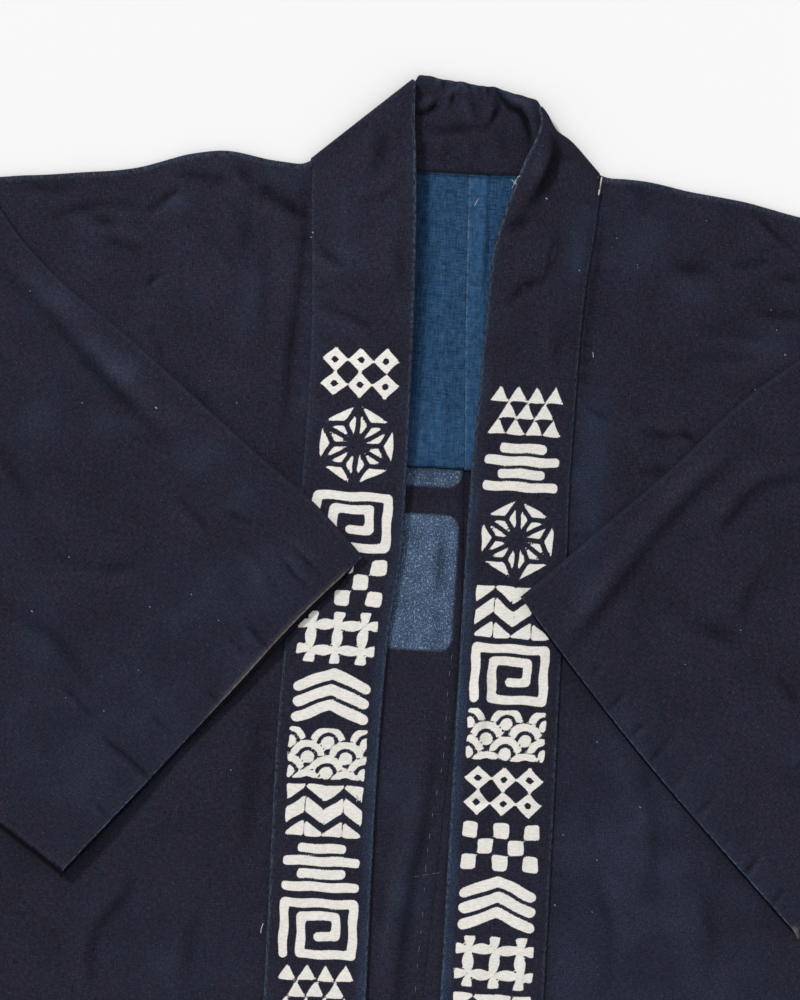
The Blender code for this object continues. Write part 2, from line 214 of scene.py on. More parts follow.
def joinCoarse(work):
    # where a fine grid meets a coarse one, the coarse edges are split at the fine one's points and joined
    rim = [edge for edge in work.edges if edge.is_boundary]
    rimPoints = np.array([point.co for point in {point for edge in rim for point in edge.verts}])
    for edge in rim:
        start = edge.verts[0]
        begin, way = np.array(start.co), np.array(edge.verts[1].co) - np.array(start.co)
        share = (rimPoints - begin) @ way / (way @ way)
        off = np.linalg.norm(rimPoints - begin - share[:, None] * way, axis=1)
        done = 0.0
        for along in np.sort(share[(off < splitWithin) & (share > 0.01) & (share < 0.99)]):
            start = bmesh.utils.edge_split(edge, start, (along - done) / (1 - done))[1]
            done = along
    bmesh.ops.remove_doubles(work, verts=work.verts, dist=splitWithin)


def clothPiece(name, grids, wall, finishes, replaced=()):
    # one piece of cloth from grids of its middle surface. A grid has its points, its cloth coordinates and its
    # values for the material; grids that meet are joined, the highest face looks up, and Solidify gives the
    # wall. With no wall, the grids are both sides of the cloth already and face the right way
    corners, maps, faces, values, begun = [], [], [], {}, 0
    for grid in grids:
        rows, columns = grid["points"].shape[:2]
        index = begun + np.arange(rows * columns).reshape(rows, columns)
        quads = (index[:-1, :-1], index[:-1, 1:], index[1:, 1:], index[1:, :-1])
        faces.append(np.stack(quads, axis=-1).reshape(-1, 4))
        corners.append(grid["points"].reshape(-1, 3))
        maps.append(grid["map"].reshape(-1, 2))
        for key, value in grid["values"].items():
            values.setdefault(key, []).append(np.broadcast_to(value, (rows, columns)).ravel())
        begun += rows * columns
    corners, maps, faces = place(np.concatenate(corners)), np.concatenate(maps) * mm, np.concatenate(faces)
    mesh = bpy.data.meshes.new(name)
    mesh.vertices.add(len(corners))
    mesh.vertices.foreach_set("co", corners.ravel())
    mesh.loops.add(faces.size)
    mesh.loops.foreach_set("vertex_index", faces.ravel())
    mesh.polygons.add(len(faces))
    mesh.polygons.foreach_set("loop_start", np.arange(0, faces.size, 4))
    mesh.polygons.foreach_set("loop_total", np.full(len(faces), 4))
    mesh.update(calc_edges=True)
    mesh.uv_layers.new(name="cloth").data.foreach_set("uv", maps[faces.ravel()].ravel())
    for key, value in values.items():
        mesh.attributes.new(key, "FLOAT", "POINT").data.foreach_set("value", np.concatenate(value))
    work = bmesh.new()
    work.from_mesh(mesh)
    bmesh.ops.remove_doubles(work, verts=work.verts, dist=joinWithin)
    if wall:
        bmesh.ops.recalc_face_normals(work, faces=work.faces)
        highest = max(work.faces, key=lambda face: face.calc_center_median().z * (abs(face.normal.z) > 0.8))
        if highest.normal.z < 0:
            bmesh.ops.reverse_faces(work, faces=work.faces)
    else:
        joinCoarse(work)
    work.to_mesh(mesh)
    work.free()
    mesh.shade_smooth()
    for material in finishes:
        mesh.materials.append(material)
    piece = bpy.data.objects.new(name, mesh)
    bpy.context.collection.objects.link(piece)
    if wall:
        thicken = piece.modifiers.new("wall", "SOLIDIFY")
        thicken.thickness = wall * mm
        thicken.offset = 0.0
        thicken.use_even_offset = True
        thicken.material_offset = len(finishes) - 1
    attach(piece, "root")
    if replaced:
        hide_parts(*replaced)
    print(name, len(mesh.polygons), "faces before its wall")
    return piece


def linear(hexColour):
    # an sRGB hex value as linear light
    channels = np.array([int(hexColour[i : i + 2], 16) for i in (0, 2, 4)]) / 255
    light = np.where(channels <= 0.04045, channels / 12.92, ((channels + 0.055) / 1.055) ** 2.4)
    return (*light.tolist(), 1.0)


def newMaterial(name, sockets):
    # a material with its node tree and its shader, whose sockets that are the same all over are set
    made = bpy.data.materials.new(name)
    made.use_nodes = True
    shader = made.node_tree.nodes["Principled BSDF"]
    for key, value in sockets.items():
        shader.inputs[key].default_value = value
    return made, made.node_tree, shader


def addNode(tree, kind, settings, links, output=0):
    # one node, with its properties or unlinked sockets set and its other sockets linked, and one of its outputs
    node = tree.nodes.new("ShaderNode" + kind)
    for key, value in settings.items():
        if isinstance(key, int) or (key in node.inputs and not hasattr(node, key)):
            node.inputs[key].default_value = value
        else:
            setattr(node, key, value)
    for key, source in links.items():
        tree.links.new(source, node.inputs[key])
    return node.outputs[output]


mixing = {"data_type": "RGBA"}  # one colour laid over another by a share
dimming = {"data_type": "RGBA", "blend_type": "MULTIPLY", 0: 1.0}
coloured = 2  # a Mix node's output when it mixes colours
# handloom cotton dyed in indigo: a plain weave of uneven yarn. Its thread pitch of 0.6 mm is drawn as threads
# 0.85 mm across, which is as fine as shows from where the coat is seen, with slubs a few threads long
indigo = {
    "grains": {  # how far a grain reaches across and along, in millimetres, and its detail
        "warp": (1.0, 3.4, 0.0), "weft": (3.4, 1.0, 0.0), "speck": (1.0, 1.0, 0.0),
        "fleck": (1.2, 1.6, 0.0), "salt": (0.75, 0.85, 1.0), "ragged": (0.9, 3.2, 2.0),
        "patch": (30.0, 34.0, 3.0), "tint": (11.0, 15.0, 3.0),
    },
    "dark": "0a0913", "light": "2e2d3b", "contrast": (0.7, 2.15),
    "flecks": (0.72, 0.86), "fleckAmount": 0.3, "fleckColour": "4e5362",
    "purple": "211c29", "blue": "171d2d", "dyeAmount": 0.4,
    "patches": (0.88, 1.12), "faded": ("060f22", "3c4e6a"),
    "worn": "4f6274", "raw": "756d66", "bleed": "333f55", "bump": 0.15, "sheen": 0.03,
}
# the same cloth with its dyed-round motifs: undyed white outside, and half-dyed blue where they show inside
ivory = {
    "low": "dad6cf", "high": "e6e3dd", "yarn": "weft", "spread": (0.3, 0.7), "edge": (0.5, 0.05),
    "bleed": 0.3, "mottle": 0.03, "slubs": 0.0, "slub": "e6e3dd",
}
shownThrough = {
    "low": "2b3d57", "high": "7488a2", "yarn": "salt", "spread": (0.42, 0.92), "edge": (1.6, -1.0),
    "bleed": 0.0, "mottle": 0.26, "slubs": 0.3, "slub": "b4c2d0",
}
# mid-blue cotton lining, thinner and more open: its threads show one by one, in bands of lighter and darker
# yarn
lining = {
    "grains": {
        "warp": (0.9, 9.0, 1.0), "weft": (7.0, 0.9, 1.0), "speck": (0.8, 0.8, 1.0),
        "fleck": (1.1, 1.1, 0.0), "ragged": (1.0, 2.6, 1.0), "salt": (0.75, 0.85, 1.0),
        "patch": (3.4, 5.0, 2.0), "tint": (40.0, 5.0, 2.0),
    },
    "dark": "001c38", "light": "345374", "contrast": (1.0, 1.85),
    "flecks": (0.74, 0.86), "fleckAmount": 0.3, "fleckColour": "5d7f9f",
    "purple": "1f3f60", "blue": "20466b", "dyeAmount": 0.3,
    "patches": (0.84, 1.16), "faded": ("2f567c", "44709a"),
    "worn": "7f9db6", "raw": "7f9db6", "bump": 0.2, "sheen": 0.02,
}


def wovenCotton(name, look, motif=None):
    # dry matt cloth: specks and short streaks of lighter and darker yarn both ways, the odd pale fleck, bluer
    # and redder patches where the dye has worn, pale rubbed edges, and motifs with a little dye bled into them
    matt = {"Roughness": 0.9, "IOR": 1.45, "Sheen Weight": look["sheen"], "Sheen Roughness": 0.5}
    made, tree, shader = newMaterial(name, matt)
    cloth = addNode(tree, "UVMap", {"uv_map": "cloth"}, {})
    noise = {}
    for key, (across, along, detail) in look["grains"].items():
        scale = (1 / (across * mm), 1 / (along * mm), 1.0)
        turned = addNode(tree, "Mapping", {"Scale": scale}, {"Vector": cloth})
        texture = {"noise_dimensions": "2D", "Scale": 1.0, "Detail": detail, "Roughness": 0.55}
        noise[key] = addNode(tree, "TexNoise", texture, {"Vector": turned})
    keys = ("tone", "fade", "wear", "raw") + (("motif",) if motif else ())
    value = {key: addNode(tree, "Attribute", {"attribute_name": key}, {}, "Fac") for key in keys}
    threads = addNode(tree, "Math", {"operation": "ADD"}, {0: noise["warp"], 1: noise["weft"]})
    yarn = addNode(tree, "Math", {"operation": "MULTIPLY_ADD", 1: 0.85}, {0: noise["speck"], 2: threads})

    # every share and factor below: what it follows, the two values that this runs between, and what it becomes
    ranges = {
        "dark": (yarn, *look["contrast"], 0.0, 1.0),
        "dye": (noise["tint"], 0.35, 0.65, 0.0, 1.0),
        "faded": (noise["salt"], 0.3, 0.7, 0.0, 1.0),
        "patches": (noise["patch"], 0.3, 0.7, *look["patches"]),
        "fade": (value["fade"], 0.0, 1.0, 0.0, 0.75),
        "fadeBroken": (noise["patch"], -0.2, 0.9, 0.0, 1.0),
        "fleck": (noise["fleck"], *look["flecks"], 0.0, look["fleckAmount"]),
        "fleckBroken": (noise["speck"], 0.3, 0.65, 0.0, 1.0),
        "wear": (value["wear"], 0.0, 1.0, 0.0, 1.0),
        "wearBroken": (noise["ragged"], 0.4, 0.65, 0.0, 1.0),
        "raw": (value["raw"], 0.0, 1.0, 0.0, 0.9),
        "rawBroken": (noise["ragged"], 0.2, 0.55, 0.0, 1.0),
    }
    if motif:
        ranges["undyed"] = (noise[motif["yarn"]], *motif["spread"], 0.0, 1.0)
        ranges["mottle"] = (noise["tint"], 0.3, 0.7, 1 - motif["mottle"], 1 + motif["mottle"])
        if motif["bleed"]:
            ranges["bleed"] = (value["motif"], 1.5, 0.2, 0.0, motif["bleed"])
            ranges["bleedBroken"] = (noise["speck"], 0.3, 0.65, 0.0, 1.0)
        if motif["slubs"]:
            ranges["slub"] = (noise["fleck"], 0.68, 0.8, 0.0, motif["slubs"])
    share = {}
    for key, (source, start, end, low, high) in ranges.items():
        settings = {"From Min": start, "From Max": end, "To Min": low, "To Max": high}
        share[key] = addNode(tree, "MapRange", settings, {"Value": source})

    pairs = {"dark": (look["dark"], look["light"]), "dye": (look["purple"], look["blue"])}
    pairs["faded"] = look["faded"]
    if motif:
        pairs["undyed"] = (motif["low"], motif["high"])
    mixed = {}
    for key, (low, high) in pairs.items():
        both = {**mixing, 6: linear(low), 7: linear(high)}
        mixed[key] = addNode(tree, "Mix", both, {0: share[key]}, coloured)
    colour = addNode(
        tree, "Mix", {**mixing, 0: look["dyeAmount"]}, {6: mixed["dark"], 7: mixed["dye"]}, coloured
    )
    # one colour after another laid over the cloth, each in a broken-up share
    layers = {"fade": None, "fleck": "fleckColour", "wear": "worn", "raw": "raw", "bleed": "bleed"}
    for key, tint in layers.items():
        if key in share:
            broken = addNode(tree, "Math", {"operation": "MULTIPLY"}, {0: share[key], 1: share[key + "Broken"]})
            over = {7: linear(look[tint])} if tint else {}
            links = {0: broken, 6: colour} if tint else {0: broken, 6: colour, 7: mixed["faded"]}
            colour = addNode(tree, "Mix", {**mixing, **over}, links, coloured)
    # tone is the cloth's own depth of colour with painted shade laid over it, in creases and in shadow lines
    # along edges
    for source in (share["patches"], value["tone"]):
        colour = addNode(tree, "Mix", dimming, {6: colour, 7: source}, coloured)
    if motif:
        # motif is the distance in millimetres out of the undyed shape, made slightly ragged by the yarn
        ragged = {0: noise["ragged"], 2: value["motif"]}
        rim = addNode(tree, "Math", {"operation": "MULTIPLY_ADD", 1: 0.5}, ragged)
        start, end = motif["edge"]
        edge = {"interpolation_type": "SMOOTHSTEP", "From Min": start + 0.25, "From Max": end + 0.25}
        inMotif = addNode(tree, "MapRange", edge, {"Value": rim})
        undyed = mixed["undyed"]
        if motif["slubs"]:
            slub = {**mixing, 7: linear(motif["slub"])}
            undyed = addNode(tree, "Mix", slub, {0: share["slub"], 6: undyed}, coloured)
        for source in (share["mottle"], value["tone"]):
            undyed = addNode(tree, "Mix", dimming, {6: undyed, 7: source}, coloured)
        colour = addNode(tree, "Mix", mixing, {0: inMotif, 6: colour, 7: undyed}, coloured)

    # a place that little light reaches has as little shine
    shine = addNode(tree, "Math", {"operation": "MULTIPLY", 1: 0.15}, {0: value["tone"]})
    raised = {"Strength": 0.6, "Distance": look["bump"] * mm}
    tree.links.new(colour, shader.inputs["Base Color"])
    tree.links.new(addNode(tree, "Bump", raised, {"Height": yarn}), shader.inputs["Normal"])
    tree.links.new(shine, shader.inputs["Specular IOR Level"])
    return made


def spunThread(name, hexColour):
    # spun cotton sewing thread: dull, with its twist as fine dark bands
    made, tree, shader = newMaterial(name, {"Roughness": 0.85, "Specular IOR Level": 0.25})
    where = addNode(tree, "TexCoord", {}, {}, "Object")
    ply = addNode(tree, "TexNoise", {"Scale": 1 / (0.8 * mm), "Detail": 1.0}, {"Vector": where})
    bands = {"From Min": 0.3, "From Max": 0.7, "To Min": 0.7, "To Max": 1.05}
    share = addNode(tree, "MapRange", bands, {"Value": ply})
    colour = addNode(tree, "Mix", {**dimming, 6: linear(hexColour)}, {7: share}, coloured)
    tree.links.new(colour, shader.inputs["Base Color"])
    return made


finish = {
    "outside": wovenCotton("handwoven cotton, indigo dyed, outside", indigo),
    "inside": wovenCotton("handwoven cotton, indigo dyed, inside", indigo, shownThrough),
    "band": wovenCotton("handwoven cotton, indigo dyed, collar band", indigo, ivory),
    "lining": wovenCotton("plain woven cotton, mid-blue lining", lining),
    "white": spunThread("spun cotton thread, undyed", "c9c6c0"),
    "blue": spunThread("spun cotton thread, pale blue", "5f6b7e"),
    "lint": spunThread("cotton lint, pale grey", "8d99aa"),
}
print("materials made")

# the cut of the coat, as its frame has it: the centre seam's x by how far down it is, a body's side by how far
# down, and the shoulder fold's height by how far out
centreSeam = (
    (0, 8.5), (81, 11.6), (185, 17.0), (295, 21.3), (400, 17.5), (495, 12.5), (950, 0.0),
)
bodySide = (
    (22, 298.0), (295, 282.5), (950, 296.0),
)
shoulder = {
    "right": (
        (92, -1.0), (118, 1.3), (143, 5.0), (170, 1.0), (203, -9.5), (243, -15.0), (298, -21.0),
    ),
    "left": (
        (92, 2.5), (118, 1.8), (146, -2.3), (185, -7.6), (218, -14.4), (298, -23.5),
    ),
}
# the band, row by row: its seam edge and its free edge, each across, up and above the ground
bandBack = (
    (-89.3, 1.5, 1.4, -29.0, 54.0, 4.6), (-72.0, 1.3, 1.3, -28.0, 57.2, 4.6),
    (-50.0, 1.0, 1.3, -26.6, 58.9, 4.6), (-28.0, 0.7, 1.3, -20.0, 58.8, 4.6), (-5.0, 0.6, 1.3, -7.0, 56.9, 4.6),
    (18.0, 0.8, 1.3, 9.0, 55.7, 4.6), (37.0, 1.5, 1.3, 25.0, 53.4, 5.0), (56.0, 2.2, 1.3, 38.0, 50.3, 5.6),
    (71.0, 2.7, 1.4, 45.6, 48.7, 6.2), (81.0, 3.0, 1.5, 49.8, 46.4, 6.6), (88.5, 3.2, 1.6, 50.4, 42.4, 6.8),
)
bandFront = {
    "right": (
        (-89.3, 1.5, 5.8, -29.0, 54.0, 9.4), (-89.2, -6.0, 5.8, -28.4, 34.0, 10.0),
        (-88.8, -16.0, 5.8, -26.5, 12.0, 10.4), (-88.0, -30.0, 5.8, -24.8, -12.0, 10.6),
        (-86.0, -58.0, 5.8, -22.8, -50.0, 10.4), (-83.5, -105.0, 5.8, -21.4, -100.0, 9.6),
        (-83.1, -150.0, 5.8, -20.4, -150.0, 8.6), (-83.8, -200.0, 5.8, -19.8, -200.0, 7.0),
        (-86.0, -245.0, 5.8, -20.0, -243.0, 5.2), (-88.2, -295.0, 5.8, -25.0, -294.0, 4.15),
        (-89.6, -345.0, 5.8, -26.6, -345.0, 4.0), (-89.0, -440.0, 5.8, -26.6, -440.0, 4.0),
        (-88.0, -525.0, 5.8, -25.2, -525.0, 4.0), (-87.0, -740.0, 5.8, -25.0, -740.0, 4.0),
        (-87.0, -950.0, 5.8, -25.0, -950.0, 4.0),
    ),
    "left": (
        (88.5, 3.2, 5.9, 50.4, 42.4, 9.9), (90.4, -4.0, 5.8, 52.0, 34.4, 12.2),
        (90.6, -12.0, 5.8, 49.4, 22.5, 12.6), (90.0, -22.0, 5.8, 44.0, 10.0, 12.0),
        (89.0, -34.0, 5.8, 37.2, -10.0, 11.6), (86.4, -57.0, 5.8, 28.8, -41.0, 11.0),
        (84.0, -97.0, 5.8, 25.2, -97.0, 9.8), (83.4, -140.0, 5.8, 23.8, -140.0, 8.8),
        (82.8, -187.0, 5.8, 22.2, -187.0, 7.4), (84.0, -240.0, 5.8, 21.8, -240.0, 5.4),
        (84.1, -300.0, 5.8, 21.9, -300.0, 4.15), (85.0, -380.0, 5.8, 22.2, -380.0, 4.0),
        (86.0, -485.0, 5.8, 22.8, -485.0, 4.0), (86.0, -720.0, 5.8, 23.4, -720.0, 4.0),
        (86.0, -950.0, 5.8, 24.0, -950.0, 4.0),
    ),
}

camera = {
    "lens": 85.0,
    "sensor": 36.0,
    "pixel": 0.63,  # what one pixel of an 800 x 1000 frame covers on the coat, in millimetres
    "high": 1000,
    "middle": (-22.3, -207.8),  # what the frame is centred on
    "turn": 3.5,  # how far the coat lies turned in the frame, in degrees
    "clothZ": 4.0,
}
lens = bpy.data.cameras.new("camera")
lens.lens = camera["lens"]
lens.sensor_width = camera["sensor"]
lens.clip_end = 50.0
viewer = bpy.data.objects.new("camera", lens)
bpy.context.collection.objects.link(viewer)
away = camera["pixel"] * camera["high"] * camera["lens"] / camera["sensor"] + camera["clothZ"]
viewer.location = place(np.array((*camera["middle"], away))).tolist()
viewer.rotation_euler = (0.0, 0.0, radians(camera["turn"]))
bpy.context.scene.camera = viewer

# body: one strip for each side, up the back, over the shoulder and down the front
bodyCut = {
    "drawnUp": {"right": 4.5, "left": 2.2},
    "length": 950.0,  # neck seam to hem
    "neckHalf": 90.5,  # middle to where the collar meets the shoulder
    "underarm": 290.0,
    "wall": 0.8,
    "backZ": 0.45,
    "frontZ": 3.4,
    "foldReach": 2.0,  # outline to the axis that the cloth turns about
    "underCollar": 8.0,
    "frontSettle": 22.0,
    "neckCornerPower": 6,
    "across": ((0.5, 0.5), (150.0, 2.3), (205.5, 4.4), (206.0, 0.5)),  # finer where the creases are
    "lowRows": ((0.5, 0.5), (400.0, 6.0), (660.0, 4.2)),  # up from the hem to the underarm
    "highRows": ((110.0, 3.6), (290.0, 2.4)),  # on up to the shoulder
    "inward": ((20.0, 4.0), (91.5, 2.4), (92.0, 0.5)),
    "foldSteps": 6,
    "seamGap": 0.04,
    "innerRise": 1.3,  # how far the back's middle lies off the ground below the lining
    "innerFrom": (84.0, -192.0),  # how far out, and down from where, it does so
}
bodyCreases = {
    "right": (
        (((-194, -37), (-186, -32), (-179, -25), (-171, -20)), 2.4, 1.2, 0.8),
        (((-190, -84), (-186, -78), (-180, -73)), 2.2, 1.1, 0.5),
        (((-270, -25), (-254, -26), (-238, -25)), 3.0, 0.5, 0.3),
        (((-254, -44), (-240, -38), (-224, -34), (-210, -33)), 3.4, 0.8, 0.4),
        (((-236, -40), (-222, -43), (-208, -48)), 3.6, 0.9, 0.4),
        (((-220, -54), (-206, -58), (-193, -61)), 3.6, 0.8, -0.4),
        (((-216, -33), (-203, -33), (-192, -34)), 2.2, 0.5, 0.2),
        (((-176, -10), (-157, -12), (-138, -14)), 4.0, 0.9, -0.4),
        (((-141, -2), (-133, -9), (-126, -18)), 3.5, 0.8, 0.3),
        (((-125, -16), (-109, -24), (-93, -33)), 5.0, 1.3, 0.4),
        (((-93.5, -8), (-92.5, -48), (-94, -80), (-97, -118), (-98, -170)), 3.0, 1.0, 0.0),
        (((-187, -108), (-181, -119), (-176, -129)), 4.0, 0.5, 0.3),
        (((-161, -143), (-152, -151), (-143, -158)), 3.0, 0.5, 0.0),
        (((-134, -30), (-129, -50), (-130, -66)), 5.0, 0.4, 0.3),
        (((-119, -54), (-114, -78), (-116, -108)), 5.0, 0.4, -0.3), (((-150, -50), (-134, -69)), 3.0, 0.4, 0.3),
        (((-176, -453), (-179, -466), (-188, -477), (-196, -488), (-199, -504), (-198, -528)), 4.0, 0.9, 0.3),
        (((-130, -465), (-137, -493), (-141, -524)), 5.0, 0.5, 0.3),
        (((-100, -336), (-105, -390), (-105, -440)), 5.0, 0.5, 0.0),
        (((-136, -540), (-128, -620), (-131, -720)), 6.0, 0.7, 0.4),
        (((-210, -640), (-190, -700), (-186, -790)), 5.0, 0.7, 0.5),
        (((-150, -850), (-122, -862), (-98, -858)), 4.0, 0.6, 0.4),
    ),
    "left": (
        (((187, -12), (200, -24), (218, -38)), 2.3, 0.9, 0.5),
        (((195, -76), (208, -78), (224, -77)), 3.0, 0.9, 0.4),
        (((136, -51), (151, -52), (167, -51)), 4.5, 0.8, 0.4),
        (((175, -49), (187, -47), (201, -43)), 3.0, 0.7, 0.3),
        (((203, -53), (213, -54), (223, -55)), 3.5, 0.7, 0.3),
        (((124, -156), (141, -157), (160, -156)), 3.0, 0.8, -0.4),
        (((90, -142), (98, -146), (107, -150)), 2.4, 0.6, 0.3),
        (((149, -152), (158, -158), (167, -164)), 2.6, 0.7, 0.3),
        (((127, -182), (137, -181), (146, -178)), 3.5, 0.8, 0.3),
        (((152, -108), (176, -105), (201, -105)), 4.5, 0.5, 0.3),
        (((94, -16), (92, -62), (89, -94), (89, -140)), 3.0, 0.8, 0.0),
        (((106, -1), (117, -5), (121, -20)), 3.5, 0.6, 0.3),
        (((159, -89), (182, -91), (203, -93)), 4.0, 0.4, 0.3),
        (((139, -360), (151, -405), (150, -452)), 5.0, 0.6, 0.3),
        (((118, -437), (128, -476), (126, -510)), 4.5, 0.5, -0.3),
        (((181, -433), (191, -472), (188, -506)), 5.0, 0.5, 0.3),
        (((170, -540), (166, -600), (175, -680)), 6.0, 0.6, 0.4),
        (((120, -690), (134, -780), (130, -860)), 5.0, 0.6, -0.5),
        (((200, -850), (230, -866), (262, -860)), 4.5, 0.6, 0.4),
    ),
}
innerCreases = (
    (((10, -325), (8, -370), (6, -408), (0, -446), (-3, -478), (-6, -530), (-4, -600)), 4.5, 0.9, 0.5),
    (((-10, -426), (-14, -472), (-18, -512)), 3.0, -0.45, 0.0),
    (((5, -219), (5, -257), (6, -296)), 2.8, 0.8, 0.3), (((-17, -445), (-18, -482)), 2.4, 0.5, 0.0),
    (((-6, -640), (2, -720), (-4, -820)), 5.0, 0.7, 0.4), (((12, -690), (15, -760)), 3.5, 0.5, 0.3),
)
backCreases = (
    (((120, -330), (108, -450), (116, -560)), 5.0, 0.0, 0.5),
    (((-150, -500), (-162, -640), (-155, -760)), 5.0, 0.0, 0.5),
    (((200, -640), (186, -720), (196, -800)), 4.0, 0.0, 0.4),
)
apartMost = 60.0  # what a motif's distance is where there is none
# rounded blocks left half dyed across the upper back, each column a step lower or higher than the last
backDesign = {
    "edge": 15.2,  # right edge of the column beside the centre seam
    "top": -113.0,
    "wide": 56.0,
    "high": 84.7,
    "gap": 18.6,
    "round": 8.0,
    "columns": (-2, -1, 0, 1, 2, 3),
    "rows": 3,
    "step": 51.0,
}


def roundedBox(x, y, wide, high, corner):
    # distance out of a rectangle with rounded corners about zero
    outX, outY = abs(x) - wide / 2 + corner, abs(y) - high / 2 + corner
    return np.hypot(np.maximum(outX, 0), np.maximum(outY, 0)) + np.minimum(np.maximum(outX, outY), 0) - corner


def backMotif(x, y):
    # distance out of the nearest block
    look, best = backDesign, np.full(np.broadcast(x, y).shape, apartMost)
    for column in look["columns"]:
        fromMiddle = x - (look["edge"] - look["wide"] / 2 + column * (look["wide"] + look["gap"]))
        for row in range(look["rows"] - (column % 2 == 0)):
            fall = row * (look["high"] + look["gap"]) - look["step"] * (column % 2)
            up = y - look["top"] + look["high"] / 2 + fall
            best = np.minimum(best, roundedBox(fromMiddle, up, look["wide"], look["high"], look["round"]))
    return best


def shoulderAxis(side, out):
    # beside the neck the seam has drawn the fold up a little towards the band's corner
    return read(shoulder[side], out) - bodyCut["foldReach"] + bodyCut["drawnUp"][side] * bell(out - 88.0, 6.0)


def collarSeam(side, y):
    return read([(-seamY, abs(seamX)) for seamX, seamY, *_ in bandFront[side]], -y)


def neckEdge(side, x):
    # the back's top edge: along the collar seam, then down to the shoulder fold
    seam = read([row[:2] for row in bandBack], x) - 0.3
    turn = np.clip(abs(x) / bodyCut["neckHalf"], 0.0, 1.0) ** bodyCut["neckCornerPower"]
    return seam + (shoulderAxis(side, bodyCut["neckHalf"]) - seam) * turn


def frontLift(side, x, y):
    # how far a front rises or sinks, and how much of that is creases: they die away under the collar band
    sign = sides[side]
    out = sign * x - collarSeam(side, y)
    pucker = np.sin(y / 2.1 + 2.5 * np.sin(y / 17.0)) * np.sin(y / 33.0 + 1.0 + sign)
    pucker = 0.25 * pucker * bell(out - 3.0, 7.0)
    beyondBand = smooth((out + 1.0) / 6.0)
    fold = (creased(x, y, bodyCreases[side]) + pucker) * beyondBand
    return fold + ground(x, y) + 0.1 * swell(x, y, 26.0, 12 + sign) * beyondBand, fold


